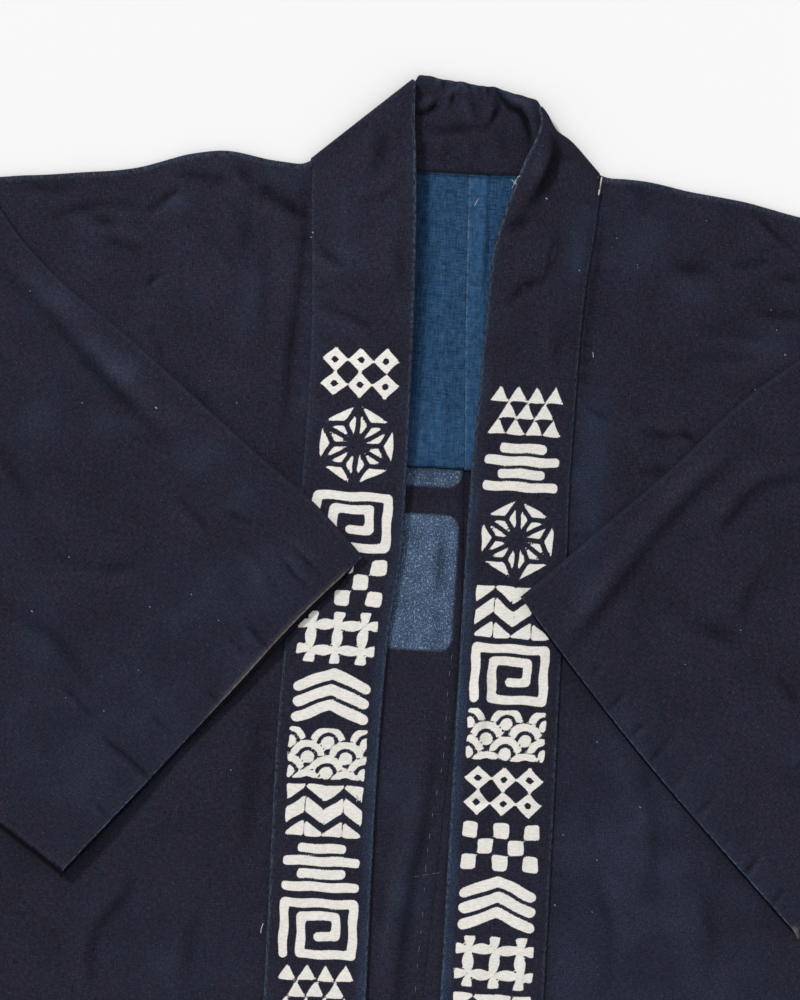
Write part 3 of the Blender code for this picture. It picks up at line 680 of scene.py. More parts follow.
def body(side):
    # back: (out, y) at the height of the back; shoulder: half a turn about an axis level with both layers'
    # middle; front: (out, y) at the height of the front plus its lift. The side seam is half a turn below the
    # underarm, and the inside is the back's middle, between the fronts
    look, sign = bodyCut, sides[side]
    low = stretches(look["lowRows"])[:, None] - look["length"]
    highShare = stretches(look["highRows"])[1:, None] / look["underarm"]
    share = shares(look["across"])[None, :]
    shoulderOut = look["neckHalf"] + (bodySide[0][1] - look["neckHalf"]) * share
    top = shoulderAxis(side, shoulderOut)
    y = np.vstack([low + 0 * share, -look["underarm"] + (top + look["underarm"]) * highShare])
    reach = read(bodySide, -y)
    backX = look["neckHalf"] + (reach - look["neckHalf"]) * share
    settle = smooth((top - y) / look["frontSettle"])
    inner = look["neckHalf"] + (collarSeam(side, y) - look["underCollar"] - look["neckHalf"]) * settle
    frontX = inner + (reach - inner) * share

    lift, fold = frontLift(side, sign * frontX, y)
    frontZ = look["frontZ"] + lift
    backFold = creased(sign * backX, y, backCreases)
    backZ = look["backZ"] + backFold
    turn = halfTurn(look["foldSteps"])
    radius = (frontZ[-1:] - backZ[-1:]) / 2
    foldY = top + radius * np.sin(turn)[:, None]
    foldZ = backZ[-1:] + radius * (1 - np.cos(turn))[:, None]
    foldLength = pi * radius

    stripX = np.vstack([backX, np.repeat(backX[-1:], len(turn), axis=0), frontX[::-1]])
    stripY = np.vstack([y, foldY, y[::-1]])
    stripZ = np.vstack([backZ, foldZ, frontZ[::-1]])
    # the cloth's own map runs straight down the front; the back's follows it over the shoulder
    alongMap = np.vstack([y - 2 * top, -top + foldLength * (turn / pi)[:, None], foldLength - y[::-1]])
    wear = 0.3 * bell(top - y, 1.0) + 0.35 * bell(y + look["length"], 1.0)
    motif = np.full(stripY.shape, apartMost)
    motif[: len(y)] = backMotif(sign * backX, y)
    folds = np.vstack([backFold, np.repeat(0 * backFold[-1:], len(turn), axis=0), fold[::-1]])
    strip = {
        "points": points(sign * stripX, stripY, stripZ),
        "map": points(sign * stripX, alongMap),
        "values": {
            "tone": dyeAndCreaseShade(sign * stripX, stripY, folds),
            "fade": faded(sign * stripX, stripY),
            "wear": np.vstack([wear, np.full(foldY.shape, 0.25), wear[::-1]]),
            "motif": motif,
        },
    }

    rows = len(low)
    sideTurn = np.concatenate([[0.0], turn, [pi]])
    sideRadius = (frontZ[:rows, -1:] - backZ[:rows, -1:]) / 2
    sideX = reach[:rows, -1:] + sideRadius * np.sin(sideTurn)
    sideZ = backZ[:rows, -1:] + sideRadius * (1 - np.cos(sideTurn))
    seam = {
        "points": points(sign * sideX, low, sideZ),
        "map": points(sign * (reach[:rows, -1:] + sideTurn), -low),
        "values": {"tone": 1.0, "fade": 0.2, "wear": 0.2, "motif": apartMost},
    }

    inward = shares(look["inward"])[None, :]
    neckX = sign * look["neckHalf"] + (centreSeam[0][1] - sign * look["neckHalf"]) * inward
    innerTop = neckEdge(side, neckX)
    innerY = np.vstack([low + 0 * inward, -look["underarm"] + (innerTop + look["underarm"]) * highShare])
    middle = read(centreSeam, -innerY) + sign * look["seamGap"] / 2
    innerX = sign * look["neckHalf"] + (middle - sign * look["neckHalf"]) * inward
    # below the lining the back's middle lies a little off the ground, and sinks to it along the seam
    innerFold = creased(innerX, innerY, innerCreases)
    riseOut, riseUp = look["innerFrom"]
    rise = smooth((riseUp - innerY) / 14.0) * smooth((riseOut - abs(innerX)) / 20.0)
    fromSeam = abs(innerX - middle)
    belowHem = -yoke["length"][side] - innerY
    # painted shade on the back's middle: a dark line just below the lining's hem, and a little darker for about
    # 20 mm below it
    shadowBelowHem = 0.3 * bell(belowHem - 0.5, 1.3) + 0.13 * smooth((24.0 - belowHem) / 6.0)
    raised = look["innerRise"] + 0.9 * ground(innerX, innerY) + 0.6 * innerFold - 0.5 * bell(fromSeam, 1.4)
    innerZ = look["backZ"] + rise * raised
    inside = {
        "points": points(innerX, innerY, np.maximum(innerZ, look["backZ"] - 0.02)),
        "map": points(innerX, innerY - 2 * top[:, :1]),
        "values": {
            "tone": dyeAndCreaseShade(innerX, innerY, innerFold) * (1 - 0.3 * bell(fromSeam, 0.9)) * (1 - shadowBelowHem),
            "fade": faded(innerX, innerY),
            "wear": 0.12 * bell(fromSeam, 1.2) * smooth((-300.0 - innerY) / 60.0),
            "motif": backMotif(innerX, innerY),
        },
    }
    return clothPiece(
        "body_" + side + "_cloth", (strip, seam, inside), look["wall"],
        (finish["outside"], finish["inside"]), ("body_" + side,),
    )


bodies = {side: body(side) for side in sides}

# yoke lining: two halves on the inside of the back, sewn together down the middle
# how far each stretch of it runs and its pitch: finer near the centre seam, where it shows
yokeFine = {"across": ((0.5, 0.5), (46.0, 1.15), (149.5, 6.0), (150.0, 0.5)), "up": ((0.5, 0.5), (187.0, 1.7))}
yokeCreases = (
    (((20.7, 6), (22.4, -30), (23, -80)), 1.4, 0.95, 0.3),
    (((9, -89.5), (18, -90), (26, -89)), 1.0, 0.45, 0.25),
    (((1, -113.5), (7, -114), (12, -112)), 1.0, 0.4, 0.2),
    (((-15, -10), (-12, -81), (-12, -144)), 3.0, 0.3, 0.2), (((2, -160), (7, -190)), 2.0, 0.35, 0.2),
    (((4.5, -128), (4, -170)), 2.5, 0.3, 0.2), (((-7, -8), (-4, -60), (-1, -120), (3, -192)), 1.6, -0.35, 0.0),
    (((30, -120), (27, -176)), 2.0, 0.3, 0.2),
)


def yokeHalf(side):
    # a flat sheet from the centre seam out under the front, its upper edge along the neck and then the shoulder
    look, sign = yoke, sides[side]
    share, climb = shares(yokeFine["across"])[None, :], shares(yokeFine["up"])[:, None]
    topX = centreSeam[0][1] + (sign * look["half"] - centreSeam[0][1]) * share
    out = sign * topX
    top = np.where(out > bodyCut["neckHalf"], shoulderAxis(side, out), neckEdge(side, topX))
    top = top - look["short"] * np.clip(out / bodyCut["neckHalf"], 0.0, 1.0) ** bodyCut["neckCornerPower"]
    hem = -look["length"][side] + 0.45 * np.sin(topX / 4.7) * np.sin(topX / 13.0)
    y = hem + (top - hem) * climb
    middle = read(centreSeam, -y) + sign * bodyCut["seamGap"] / 2
    x = middle + (sign * look["half"] - middle) * share
    fromSeam, fromHem, fromNeck = abs(x - middle), y - hem, top - y
    fold = creased(x, y, yokeCreases)
    z = look["z"] + fold + 0.1 * swell(x, y, 40.0, 5 + sign) + 0.15 * bell(fromSeam - 1.8, 1.2)
    z = z - 0.06 * bell(fromSeam, 0.8) - 0.3 * bell(fromHem, 1.2)
    # painted shade: a dark line along the hem, where the lining's edge stands over the back, and one just below
    # the neck seam, under the band's edge
    tone = dyeAndCreaseShade(x, y, fold) * (1 - 0.1 * bell(fromSeam, 0.7)) * (1 - 0.9 * bell(fromHem - 0.3, 1.0))
    tone = tone * (1 - 0.8 * bell(fromNeck - 1.0, 0.9))
    # painted shadow: the strip beside the right front's free edge, where its band casts a shadow, is darker
    shadowX, shadowY = look["bandShadow"]
    tone = tone * (1 - 0.3 * smooth((shadowX - x) / 1.6) * (1 - 0.6 * smooth((shadowY - y) / 60.0)))
    # the left half is paler, most of all along the centre seam, where its edge has frayed
    frayed, paler, seamFade = (0.26, 1.07, 0.35) if side == "left" else (0.1, 1.0, 0.0)
    sheet = {
        "points": points(x, y, np.maximum(z, look["z"] - 0.35)),
        "map": points(x, y),
        "values": {
            "tone": tone * paler,
            "fade": seamFade * smooth((13.0 - fromSeam) / 3.0) + 0.3 * bell(fromHem - 20.0, 16.0),
            "wear": frayed * bell(fromSeam - 0.5, 0.6) + 0.15 * bell(fromHem, 0.8),
        },
    }
    return clothPiece(
        "yoke_" + side + "_cloth", (sheet,), look["wall"], (finish["lining"],), ("yoke_" + side,)
    )


yokes = {side: yokeHalf(side) for side in sides}

# collar band: one long strip doubled, up the right front, round the back of the neck, down the left front
band = {
    "wide": 62.0,
    "apart": 0.62,  # half the distance between the middles of its two layers
    "wall": 0.56,  # one layer
    "across": 1.6,
    "alongBack": 1.7,
    "alongPlain": 2.2,
    "alongFigures": 1.7,
    "longest": 2000.0,  # past any end of it
    "plain": 96.0,  # how far below the neck its figures begin
    "coarse": 7.0,  # pitch across the layer underneath and the inner walls
    "neckRows": 26,  # rows down each front that are as fine as those behind the neck
    "turnSteps": 4,
    "rollSteps": 8,
    "bow": 0.4,
    "seamDrop": 0.8,  # how far the seam edge is drawn down on to the front, and over what width
    "seamDropWide": 4.5,
    "dent": (-1.9, -2.0),  # how far the left fold sinks in beside the neck, where along it and how widely
    "dentAt": 0.70,
    "dentWide": 0.15,
}
bandBackCreases = (
    (((-30, 38), (-25, 36.5), (-20, 37.5), (-16, 41), (-13.5, 46)), 1.9, 2.2, -2),
    (((-3, 53), (-5, 46), (-6.5, 39)), 1.5, 1.2, 0.75),
    (((22.5, 50), (24.2, 42.5), (21.5, 35.4), (17, 28.5)), 1.6, 1.9, 0.75),
    (((21.5, 54.5), (27.7, 47.5), (33, 43), (38.5, 41.3), (42, 37.3), (44.6, 29.9), (47, 20)), 2, 3, -2.2),
    (((-15, 25), (7.4, 28.9), (20, 29.5)), 3.4, 0.8, 0.3),
    (((1.5, 57), (-3.5, 52), (-9.5, 46.5)), 1.4, -1.1, 0), (((8.5, 56), (2, 49)), 1.3, -0.81, 0),
    (((5.5, 49), (9, 41), (13.5, 32)), 2.2, 0.81, 0.9), (((-23, 28), (-13, 25.5), (-4, 23)), 3, 0.5, 0.2),
    (((-10, 60), (-11, 55), (-12, 51)), 1.4, 1.1, 0.6), (((-3, 59), (-3.4, 54)), 1.3, 0.94, 0.6),
    (((4, 58), (6.5, 50)), 1.3, 1.1, 0.6), (((10.5, 58), (13.2, 49.5)), 1.3, 0.94, 0.6),
    (((16.8, 57), (18.2, 48)), 1.3, 1.1, 0.6), (((26.3, 30), (29, 20), (31.3, 9)), 3, 0.5, 0.3),
    (((-7, 21), (-7.5, 4)), 3, 0.4, 0.3), (((-19, 20), (-20, 6)), 4, 0.5, 0.2),
    (((11, 22), (14, 6)), 3, 0.3, 0.3),
)
bandFrontCreases = (
    (((60, 30), (62, 25), (62.9, 18.4), (61.5, 9.4), (59, 0.5), (55, -7), (51, -13), (46, -23)), 3.6, 2.6, 0.9),
    (((48, -22), (43.5, -28.5), (37.5, -32.5), (31, -35)), 4.0, 0.9, 0.2),
    (((61.5, 13.9), (70.2, 13.1), (77, 14)), 2.6, 0.5, 0.2),
    (((67.5, -34), (63.9, -48.5), (61.3, -58.7), (59, -67)), 2.5, 0.9, 0.3),
    (((61, -63), (49.3, -68.9), (42.7, -74.4), (36, -83)), 3.2, 1.0, -0.3),
    (((80, -11), (86, -15), (89, -21)), 2.6, 0.5, 0.0), (((72, -84), (70, -110), (73, -128)), 4.0, 0.4, 0.2),
    (((27, -391.5), (39.5, -393.3), (53, -390.7)), 2.2, 0.4, 0.3),
    (((39, -298), (40, -330), (38, -369)), 3.0, 0.4, 0.2), (((-46, 26), (-49, 5), (-52, -14)), 5.0, 0.6, 0.3),
    (((-33, -12), (-50, -20), (-60, -25)), 3.0, 0.6, 0.3),
    (((-85, -51), (-76, -58), (-64, -64)), 3.0, 1.0, 0.4), (((-83, -78), (-75, -77)), 2.2, 0.6, 0.2),
    (((-81, -88), (-69, -92), (-45, -101)), 3.0, 0.8, 0.3),
    (((-69, -11), (-69, -36), (-68, -60)), 3.0, -0.4, 0.0), (((-34, -40), (-28, -80)), 3.6, 0.5, 0.2),
    (((-70, -640), (-50, -655), (-34, -650)), 4.0, 0.5, 0.4),
    (((38, -700), (58, -712), (74, -706)), 4.0, 0.5, 0.4),
)
# how worn the band's free edge and its seam edge are from the neck down, and how far its free edge has faded
bandWear = {
    "right": (
        (-60, 0.5, 0.2, 0.1), (0, 1.0, 0.35, 0.15), (90, 0.8, 0.3, 0.1), (180, 0.7, 0.3, 0.2),
        (280, 0.8, 0.6, 0.6), (400, 0.8, 0.8, 0.75), (530, 0.9, 0.8, 0.8), (950, 0.8, 0.7, 0.5),
    ),
    "left": (
        (-60, 0.7, 0.2, 0.1), (0, 1.0, 0.3, 0.1), (90, 0.8, 0.45, 0.2), (180, 0.7, 0.45, 0.4),
        (280, 0.8, 0.5, 0.8), (400, 0.9, 0.6, 0.9), (530, 0.9, 0.6, 0.8), (950, 0.8, 0.6, 0.5),
    ),
}
figureWide = 48.0


def stroke(u, v, path, wide):
    # distance out of a stroke of a given width along a path
    best = np.full(u.shape, apartMost)
    for (startU, startV), (endU, endV) in zip(path[:-1], path[1:]):
        wayU, wayV = endU - startU, endV - startV
        at = np.clip(((u - startU) * wayU + (v - startV) * wayV) / (wayU**2 + wayV**2), 0.0, 1.0)
        best = np.minimum(best, np.hypot(u - startU - at * wayU, v - startV - at * wayV))
    return best - wide / 2


def nearest(distances):
    # the least of some distances out of a shape
    return np.minimum(np.minimum.reduce(list(distances)), apartMost)


def hempLeaf(u, v, high):
    # a hexagon cut by dyed lines: in each sixth they run from the middle to a corner, and from the middle of
    # the sixth to its three corners. The sixths are folded on to one by the angle
    radius = high / 2
    folded = abs((np.arctan2(v, u) + pi / 6) % (pi / 3) - pi / 6)
    out = np.hypot(u, v)
    foldU, foldV = out * np.cos(folded), out * np.sin(folded)
    centre, corner = (radius / 3**0.5, 0.0), (radius * 3**0.5 / 2, radius / 2)
    lines = stroke(foldU, foldV, ((0.0, 0.0), centre, corner, (0.0, 0.0)), 3.7)
    return np.maximum(foldU - corner[0], -lines)


def keyFret(u, v, high):
    # a four-cornered spiral of one stroke
    wide = 5.0
    unitU, unitV = (figureWide - wide) / 4, (high - wide) / 4
    turns = ((-2, -2), (-2, 2), (2, 2), (2, -2), (-1, -2), (-1, 1), (1, 1), (1, -0.6), (0, -0.6))
    return stroke(u, v, [(unitU * a, unitV * b) for a, b in turns], wide)


def petals(u, v, high):
    # interlaced circles: a petal is what two neighbouring discs share
    pitch = high / 2
    u = u + pitch / 2
    nearU, nearV = u - pitch * np.round(u / pitch), v - pitch * np.round(v / pitch)
    own = np.hypot(nearU, nearV)
    beside, above = np.hypot(pitch - abs(nearU), nearV), np.hypot(nearU, pitch - abs(nearV))
    shared = np.minimum(np.maximum(own, beside), np.maximum(own, above)) - pitch / 2**0.5
    return np.maximum(shared + 0.2, roundedBox(u - pitch / 2, v, 3 * pitch, high, 1.0))


def chevrons(u, v, high):
    # three bent strokes, one under another
    bends = [((-20.5, at - 4.2), (0.0, at + 4.6), (20.5, at - 4.2)) for at in np.linspace(-0.3, 0.3, 3) * high]
    return nearest(stroke(u, v, bend, 6.0) for bend in bends)


def checks(u, v, high):
    # fifteen cells, one in two left undyed
    cellU, cellV = figureWide / 5, high / 3
    cells = [(number % 5 - 2, number // 5 - 1) for number in range(0, 15, 2)]
    return nearest(roundedBox(u - a * cellU, v - b * cellV, cellU - 0.8, cellV - 0.8, 1.6) for a, b in cells)


def waves(u, v, high):
    # rows of rings, each row laid over the one above: its discs are cut out of it first
    radius = figureWide / 4
    best = np.full(u.shape, apartMost)
    for row in range(4):
        middleV = high / 2 - radius - (row - 0.35) * 0.78 * radius
        shift = (row % 2) * radius
        middleU = 2 * radius * np.round((u - shift) / (2 * radius)) + shift
        out = np.hypot(u - middleU, v - middleV)
        rings = np.minimum(abs(out - 8.6) - 1.9, out - 3.7)
        best = np.minimum(np.maximum(best, radius - out), rings)
    return np.maximum(best, roundedBox(u, v, figureWide, high, 1.0))


def scales(u, v, high):
    # three rows of upright triangles, the middle row one fewer
    tall, wide = high / 3, figureWide / 4
    slant = 2 * tall / wide
    triangles = []
    for row in range(3):
        upV = v + high / 2 - row * tall
        for column in range(4 - row % 2):
            middle = (column - (3 - row % 2) / 2) * wide
            side = (abs(u - middle) * slant + upV - tall) / (1 + slant**2) ** 0.5
            triangles.append(np.maximum(side, 0.9 - upV))
    return nearest(triangles)


def bars(u, v, high):
    # four level bars, long and short by turns
    rows = ((-0.39, 1.0), (-0.13, 0.62), (0.13, 1.0), (0.39, 0.62))
    return nearest(roundedBox(u, v - up * high, long * figureWide, 0.17 * high, 2.0) for up, long in rows)


def lozenges(u, v, high):
    # three across and two down, each dyed in its middle
    pitchU, pitchV = figureWide / 3, high / 2
    nearU = u - pitchU * np.round(u / pitchU)
    nearV = v + pitchV / 2 - pitchV * np.round((v + pitchV / 2) / pitchV)
    out = (abs(nearU) / pitchU + abs(nearV) / pitchV - 0.49) * pitchV
    return np.maximum(np.maximum(out, -4.6 - out), roundedBox(u, v, figureWide, high, 1.0))


def arrows(u, v, high):
    # four columns of slanting strokes, which lean each way by turns
    column = np.clip(np.floor(u / 12.0), -2, 1)
    middle = 12.0 * column + 6.0
    lean = np.where(column % 2 == 0, 1.0, -1.0)
    slanted = v - lean * (u - middle) * 0.75
    strokes = (abs(slanted - 15.0 * np.round(slanted / 15.0)) - 4.6) * 0.8
    return np.maximum(strokes, np.maximum(abs(u - middle) - 5.3, abs(v) - high / 2))


# traditional geometric figures down each front, one under another from below the neck to the hem
figureHigh = {
    arrows: 32.0, bars: 31.0, checks: 30.0, chevrons: 33.0, hempLeaf: 51.0, keyFret: 37.0, lozenges: 31.0,
    petals: 32.0, scales: 31.0, waves: 31.0,
}
figureGap = 4.4
figureTop = {"right": -114.0, "left": -132.0}
figureRun = {
    "right": (
        lozenges, hempLeaf, keyFret, checks, petals, chevrons, waves, arrows, bars, keyFret, scales, petals,
        checks, lozenges, chevrons, waves, hempLeaf, arrows, keyFret, bars, petals, scales,
    ),
    "left": (
        scales, bars, hempLeaf, arrows, keyFret, waves, lozenges, checks, chevrons, petals, arrows, bars,
        keyFret, scales, waves, hempLeaf, checks, lozenges, petals, chevrons, keyFret,
    ),
}


def bandMotif(side, u, v):
    # distance out of the nearest figure; u is across the band from its middle, v is up the coat. Both are
    # nudged by slow waves, so that no line is ruled
    best, top = np.full(u.shape, apartMost), figureTop[side]
    drawnU = -sides[side] * u + 0.35 * np.sin(v / 3.1 + u / 5.0)
    drawnV = v + 0.35 * np.sin(u / 3.7 + v / 9.0)
    for figure in figureRun[side]:
        high = figureHigh[figure]
        best = np.minimum(best, figure(drawnU, drawnV - (top - high / 2), high))
        top -= high + figureGap
    return best


def alongBand(rows, plan):
    # a smooth curve through the band's rows, at the places that plan gives along it, from its first row
    table = np.array(rows)
    run = (runAlong((table[:, :2] + table[:, 3:5]) / 2) + runAlong(table[:, :2])) / 2
    at = stretches(tuple(row for row in plan if row[0] < run[-1]) + ((run[-1], plan[-1][1]),))
    return np.stack([read(np.stack([run, table[:, i]], axis=-1), at) for i in range(6)], axis=-1)


def bandRoll(side):
    # rows between the lower and upper layer where the band folds over beside the neck: half a turn of each edge
    low = np.array(bandBack[0 if side == "right" else -1])
    high = np.array(bandFront[side][0])
    fold = sides[side] * (low[3:5] - low[:2])
    fold = fold / np.hypot(*fold)
    away = np.array((fold[1], -fold[0]))
    angle = halfTurn(band["rollSteps"])[:, None]
    edges = []
    for at in (0, 3):
        radius = (high[at + 2] - low[at + 2]) / 2
        edges += [low[at : at + 2] + away * radius * np.sin(angle), low[at + 2] + radius * (1 - np.cos(angle))]
    return np.hstack(edges)


def bandWall(middle, normal, way, apart, picked, turnSteps, hems):
    # one surface round the doubled band, at a distance from its middle surface: over the top, half a turn about
    # the free edge, back underneath at the picked columns and half a turn about the seam edge. At a hem it
    # closes on to the middle surface
    rows = np.concatenate([[0] * hems[0], np.arange(len(middle)), [len(middle) - 1] * hems[1]]).astype(int)
    apart = np.full((len(rows), 1, 1), apart)
    apart[: hems[0]] = 0.0
    apart[len(rows) - hems[1] :] = 0.0
    middle, normal, way = middle[rows], normal[rows], way[rows]
    turn = halfTurn(turnSteps)[None, :, None]
    top = middle + apart * normal
    under = middle[:, picked[::-1]] - apart * normal
    free = middle[:, -1:] + apart * (normal * np.cos(turn) + way * np.sin(turn))
    seam = middle[:, :1] - apart * (normal * np.cos(turn) + way * np.sin(turn))
    return np.concatenate([top, free, under, seam, top[:, :1]], axis=1)


def straightenEnds(surface, every, known):
    # puts the points of a stretch's first and last row on straight lines between its known columns
    for row in (0, -1):
        for axis in range(3):
            surface[row, :, axis] = np.interp(every, known, surface[row, known, axis])


def collarBand():
    # the middle surface goes straight from seam edge to free edge, bowed up between. Each layer has an outer
    # wall and an inner one, so there are two surfaces round the band
    look = band
    plan = ((look["plain"], look["alongPlain"]), (look["longest"], look["alongFigures"]))
    right, left = alongBand(bandFront["right"], plan), alongBand(bandFront["left"], plan)
    back = alongBand(bandBack, ((look["longest"], look["alongBack"]),))
    parts = [right[::-1], bandRoll("right")[::-1], back, bandRoll("left"), left]
    rows = np.vstack(parts)
    ends = np.cumsum([len(part) for part in parts])
    number = np.arange(len(rows))[:, None]
    onFront = (number < ends[0]) | (number >= ends[3])
    onBack = (number >= ends[1]) & (number < ends[2])

    share = np.linspace(0.0, 1.0, round(look["wide"] / look["across"]) + 1)[None, :]
    seam, free = rows[:, None, :3], rows[:, None, 3:]
    middle = seam + (free - seam) * share[..., None]
    x, y = middle[..., 0].copy(), middle[..., 1].copy()
    bow = np.sin(pi * share)
    fromRoll = np.where(onFront, np.minimum(abs(number - ends[0] + 1), abs(number - ends[3])), 0)
    fromRoll = np.where(onBack, np.minimum(abs(number - ends[1]), abs(number - ends[2] + 1)), fromRoll)
    apartFromRoll = smooth(fromRoll / 4)
    frontFold = creased(x, y, bandFrontCreases) * apartFromRoll
    backFold = creased(x, y, bandBackCreases) * apartFromRoll
    front = frontFold + ground(x, y) * smooth((8.0 - y) / 10.0)
    front = front + 0.15 * swell(x, y, 40.0, 3) * bow * apartFromRoll
    front = front - look["seamDrop"] * (1 - smooth(share * look["wide"] / look["seamDropWide"])) * apartFromRoll
    behind = backFold + 0.3 * swell(x, y, 22.0, 8) * smooth(1.6 * share) * apartFromRoll
    middle[..., 2] += look["bow"] * bow + np.where(onFront, front, behind)
    # the left fold sinks in a little beside the neck, and the back's free edge is gathered into small waves
    leftFold = bell(np.maximum(abs(number - (ends[2] + ends[3]) / 2) - look["rollSteps"] / 2, 0.0), 7.0)
    dent = bell(share - look["dentAt"], look["dentWide"]) * leftFold
    middle[..., 0] += look["dent"][0] * dent
    gathers = 0.5 * swell(x, y, 12.0, 47) * bell(share - 1, 0.09) * onBack * apartFromRoll
    middle[..., 1] += look["dent"][1] * dent + gathers

    run = np.gradient((rows[:, :3] + rows[:, 3:]) / 2, axis=0)
    way = rows[:, 3:] - rows[:, :3]
    normal = np.cross(way, run)
    normal, way = ((each / np.linalg.norm(each, axis=-1, keepdims=True))[:, None, :] for each in (normal, way))
    every = np.arange(share.shape[1])
    picked = np.linspace(0, every[-1], round(look["wide"] / look["coarse"]) + 1).round().astype(int)

    across, turns = share[0] * look["wide"], look["turnSteps"]
    down = runAlong((rows[:, :2] + rows[:, 3:5]) / 2)
    acrossMiddle = across[None, :] - look["wide"] / 2 + 0 * x
    motif = np.full(x.shape, apartMost)
    for side, part in (("right", slice(0, ends[0])), ("left", slice(ends[3], None))):
        motif[part] = bandMotif(side, acrossMiddle[part], y[part])
    onRight, worn = number < (ends[1] + ends[2]) / 2, {}
    for column, key in enumerate(("free", "seam", "blue"), 1):
        amount = {
            side: read([(row[0], row[column]) for row in bandWear[side]], -y.mean(axis=1, keepdims=True))
            for side in sides
        }
        worn[key] = np.where(onBack, 0.3, np.where(onRight, amount["right"], amount["left"]))
    worn["seam"] = np.where(onBack, 0.05, worn["seam"])
    fromFree, fromSeam = look["wide"] - across[None, :], across[None, :]
    shadow = np.where(onBack, 0.5, 0.15) * bell(fromSeam, 1.2)
    top = {
        "tone": dyeAndCreaseShade(x, y, np.where(onFront, frontFold, backFold)) * (1 - shadow),
        "fade": faded(x, y) * onFront + 1.1 * worn["blue"] * smooth((7.5 - fromFree) / 4.5),
        "wear": 0.62 * worn["free"] * bell(fromFree, 0.42) + 0.7 * worn["seam"] * bell(fromSeam, 0.42),
        "motif": motif,
    }
    elsewhere = {"tone": 1.0, "fade": 0.1, "wear": 0.0, "motif": apartMost}
    edges = {key: (value, value) for key, value in elsewhere.items()}
    edges["wear"] = (0.5 * worn["free"], 0.6 * worn["seam"])

    # both walls in three stretches: about the neck the creases are deep, and behind it the side that was
    # underneath on the fronts shows, so all columns are kept there. On the rows where the stretches meet they
    # lie on straight lines between the others. Down the fronts the inner wall has every third row
    neckFrom, neckTo = ends[0] - 1 - look["neckRows"], ends[3] + look["neckRows"]
    runs = ((0, neckFrom + 1, picked), (neckFrom, neckTo + 1, every), (neckTo, len(rows), picked))
    grids = []
    for begin, beyond, picks in runs:
        part, hems = slice(begin, beyond), (int(begin == 0), int(beyond == len(rows)))
        aboutNeck = picks is every
        outer = bandWall(
            middle[part], normal[part], way[part], look["apart"] + look["wall"] / 2, picks, turns, hems
        )
        if aboutNeck:
            under = outer[:, len(every) + turns : 2 * len(every) + turns]
            straightenEnds(under, every, (every[-1] - picked)[::-1])
        run = np.concatenate([[begin] * hems[0], np.arange(begin, beyond), [beyond - 1] * hems[1]]).astype(int)
        values = {}
        for key in top:
            atFree, atSeam = (np.broadcast_to(edge, (len(rows), 1))[run] for edge in edges[key])
            above = np.broadcast_to(top[key], x.shape)[run]
            beneath = above[:, ::-1] if aboutNeck else np.full((len(run), len(picks)), elsewhere[key])
            values[key] = np.hstack([above] + [atFree] * turns + [beneath] + [atSeam] * turns + [above[:, :1]])
        turned = np.linspace(0.5, 2.5, turns)  # the cloth's own map goes on round the edges
        u = [across, look["wide"] + turned, 2 * look["wide"] + 3 - across[picks[::-1]]]
        u += [2 * look["wide"] + 3 + turned, [2 * look["wide"] + 6]]
        cloth = points(np.concatenate(u)[None, :], down[run][:, None])
        grids.append({"points": outer, "map": cloth, "values": values})

        at = np.arange(begin, beyond)
        if not aboutNeck:
            at = at[(at % 3 == 0) | (at == begin) | (at == beyond - 1)]
        sheet = middle[at][:, picks]
        if aboutNeck:
            straightenEnds(sheet, every, picked)
        apart = look["apart"] - look["wall"] / 2
        inner = bandWall(sheet, normal[at], way[at], apart, np.arange(len(picks)), 2, hems)[:, ::-1]
        grids.append({"points": inner, "map": points(inner[..., 0], inner[..., 1]), "values": elsewhere})
    return clothPiece("collar_cloth", grids, None, (finish["band"],), ("collar",))


collar = collarBand()

# sleeves: flat tubes, folded over the fronts
SleeveLay = namedtuple("SleeveLay", "startOut startY droop foldAngle skew proud")
# proud is how far the wall underneath stands out past the other at the cuff, a strip painted dark as a shadow
# line
sleeveLay = {
    "right": SleeveLay(298.5, -21.5, 3.3, 22.35, 0.0175, 2.9),
    "left": SleeveLay(298.5, -23.5, 3.3, 24.2, 0.035, 1.35),
}
# how far each edge lies out of a straight line, by the distance along it
topEdge = {
    "right": (
        (0, -1.0), (88, -7.5), (150, -2.0), (216, 0.8), (264, 3.2), (304, 6.1), (330, 5.0), (349, 3.7),
    ),
    "left": (
        (0, -1.0), (118, -1.0), (156, 3.0), (227, 1.2), (294, 2.8), (330, 3.6), (349, 4.2),
    ),
}
cuffEdge = {
    "right": (
        (0, -0.6), (50, -3.0), (116, -1.6), (186, -0.5), (267, 0.0),
    ),
    "left": (
        (0, 1.0), (54, 4.0), (92, 5.4), (148, 5.8), (210, 4.2), (267, 2.4),
    ),
}
bottomEdge = {
    "right": (
        (120, 0.0), (205, 6.0), (293, 6.0), (349, -1.0),
    ),
    "left": (
        (120, 0.0), (235, 3.0), (349, -1.0),
    ),
}
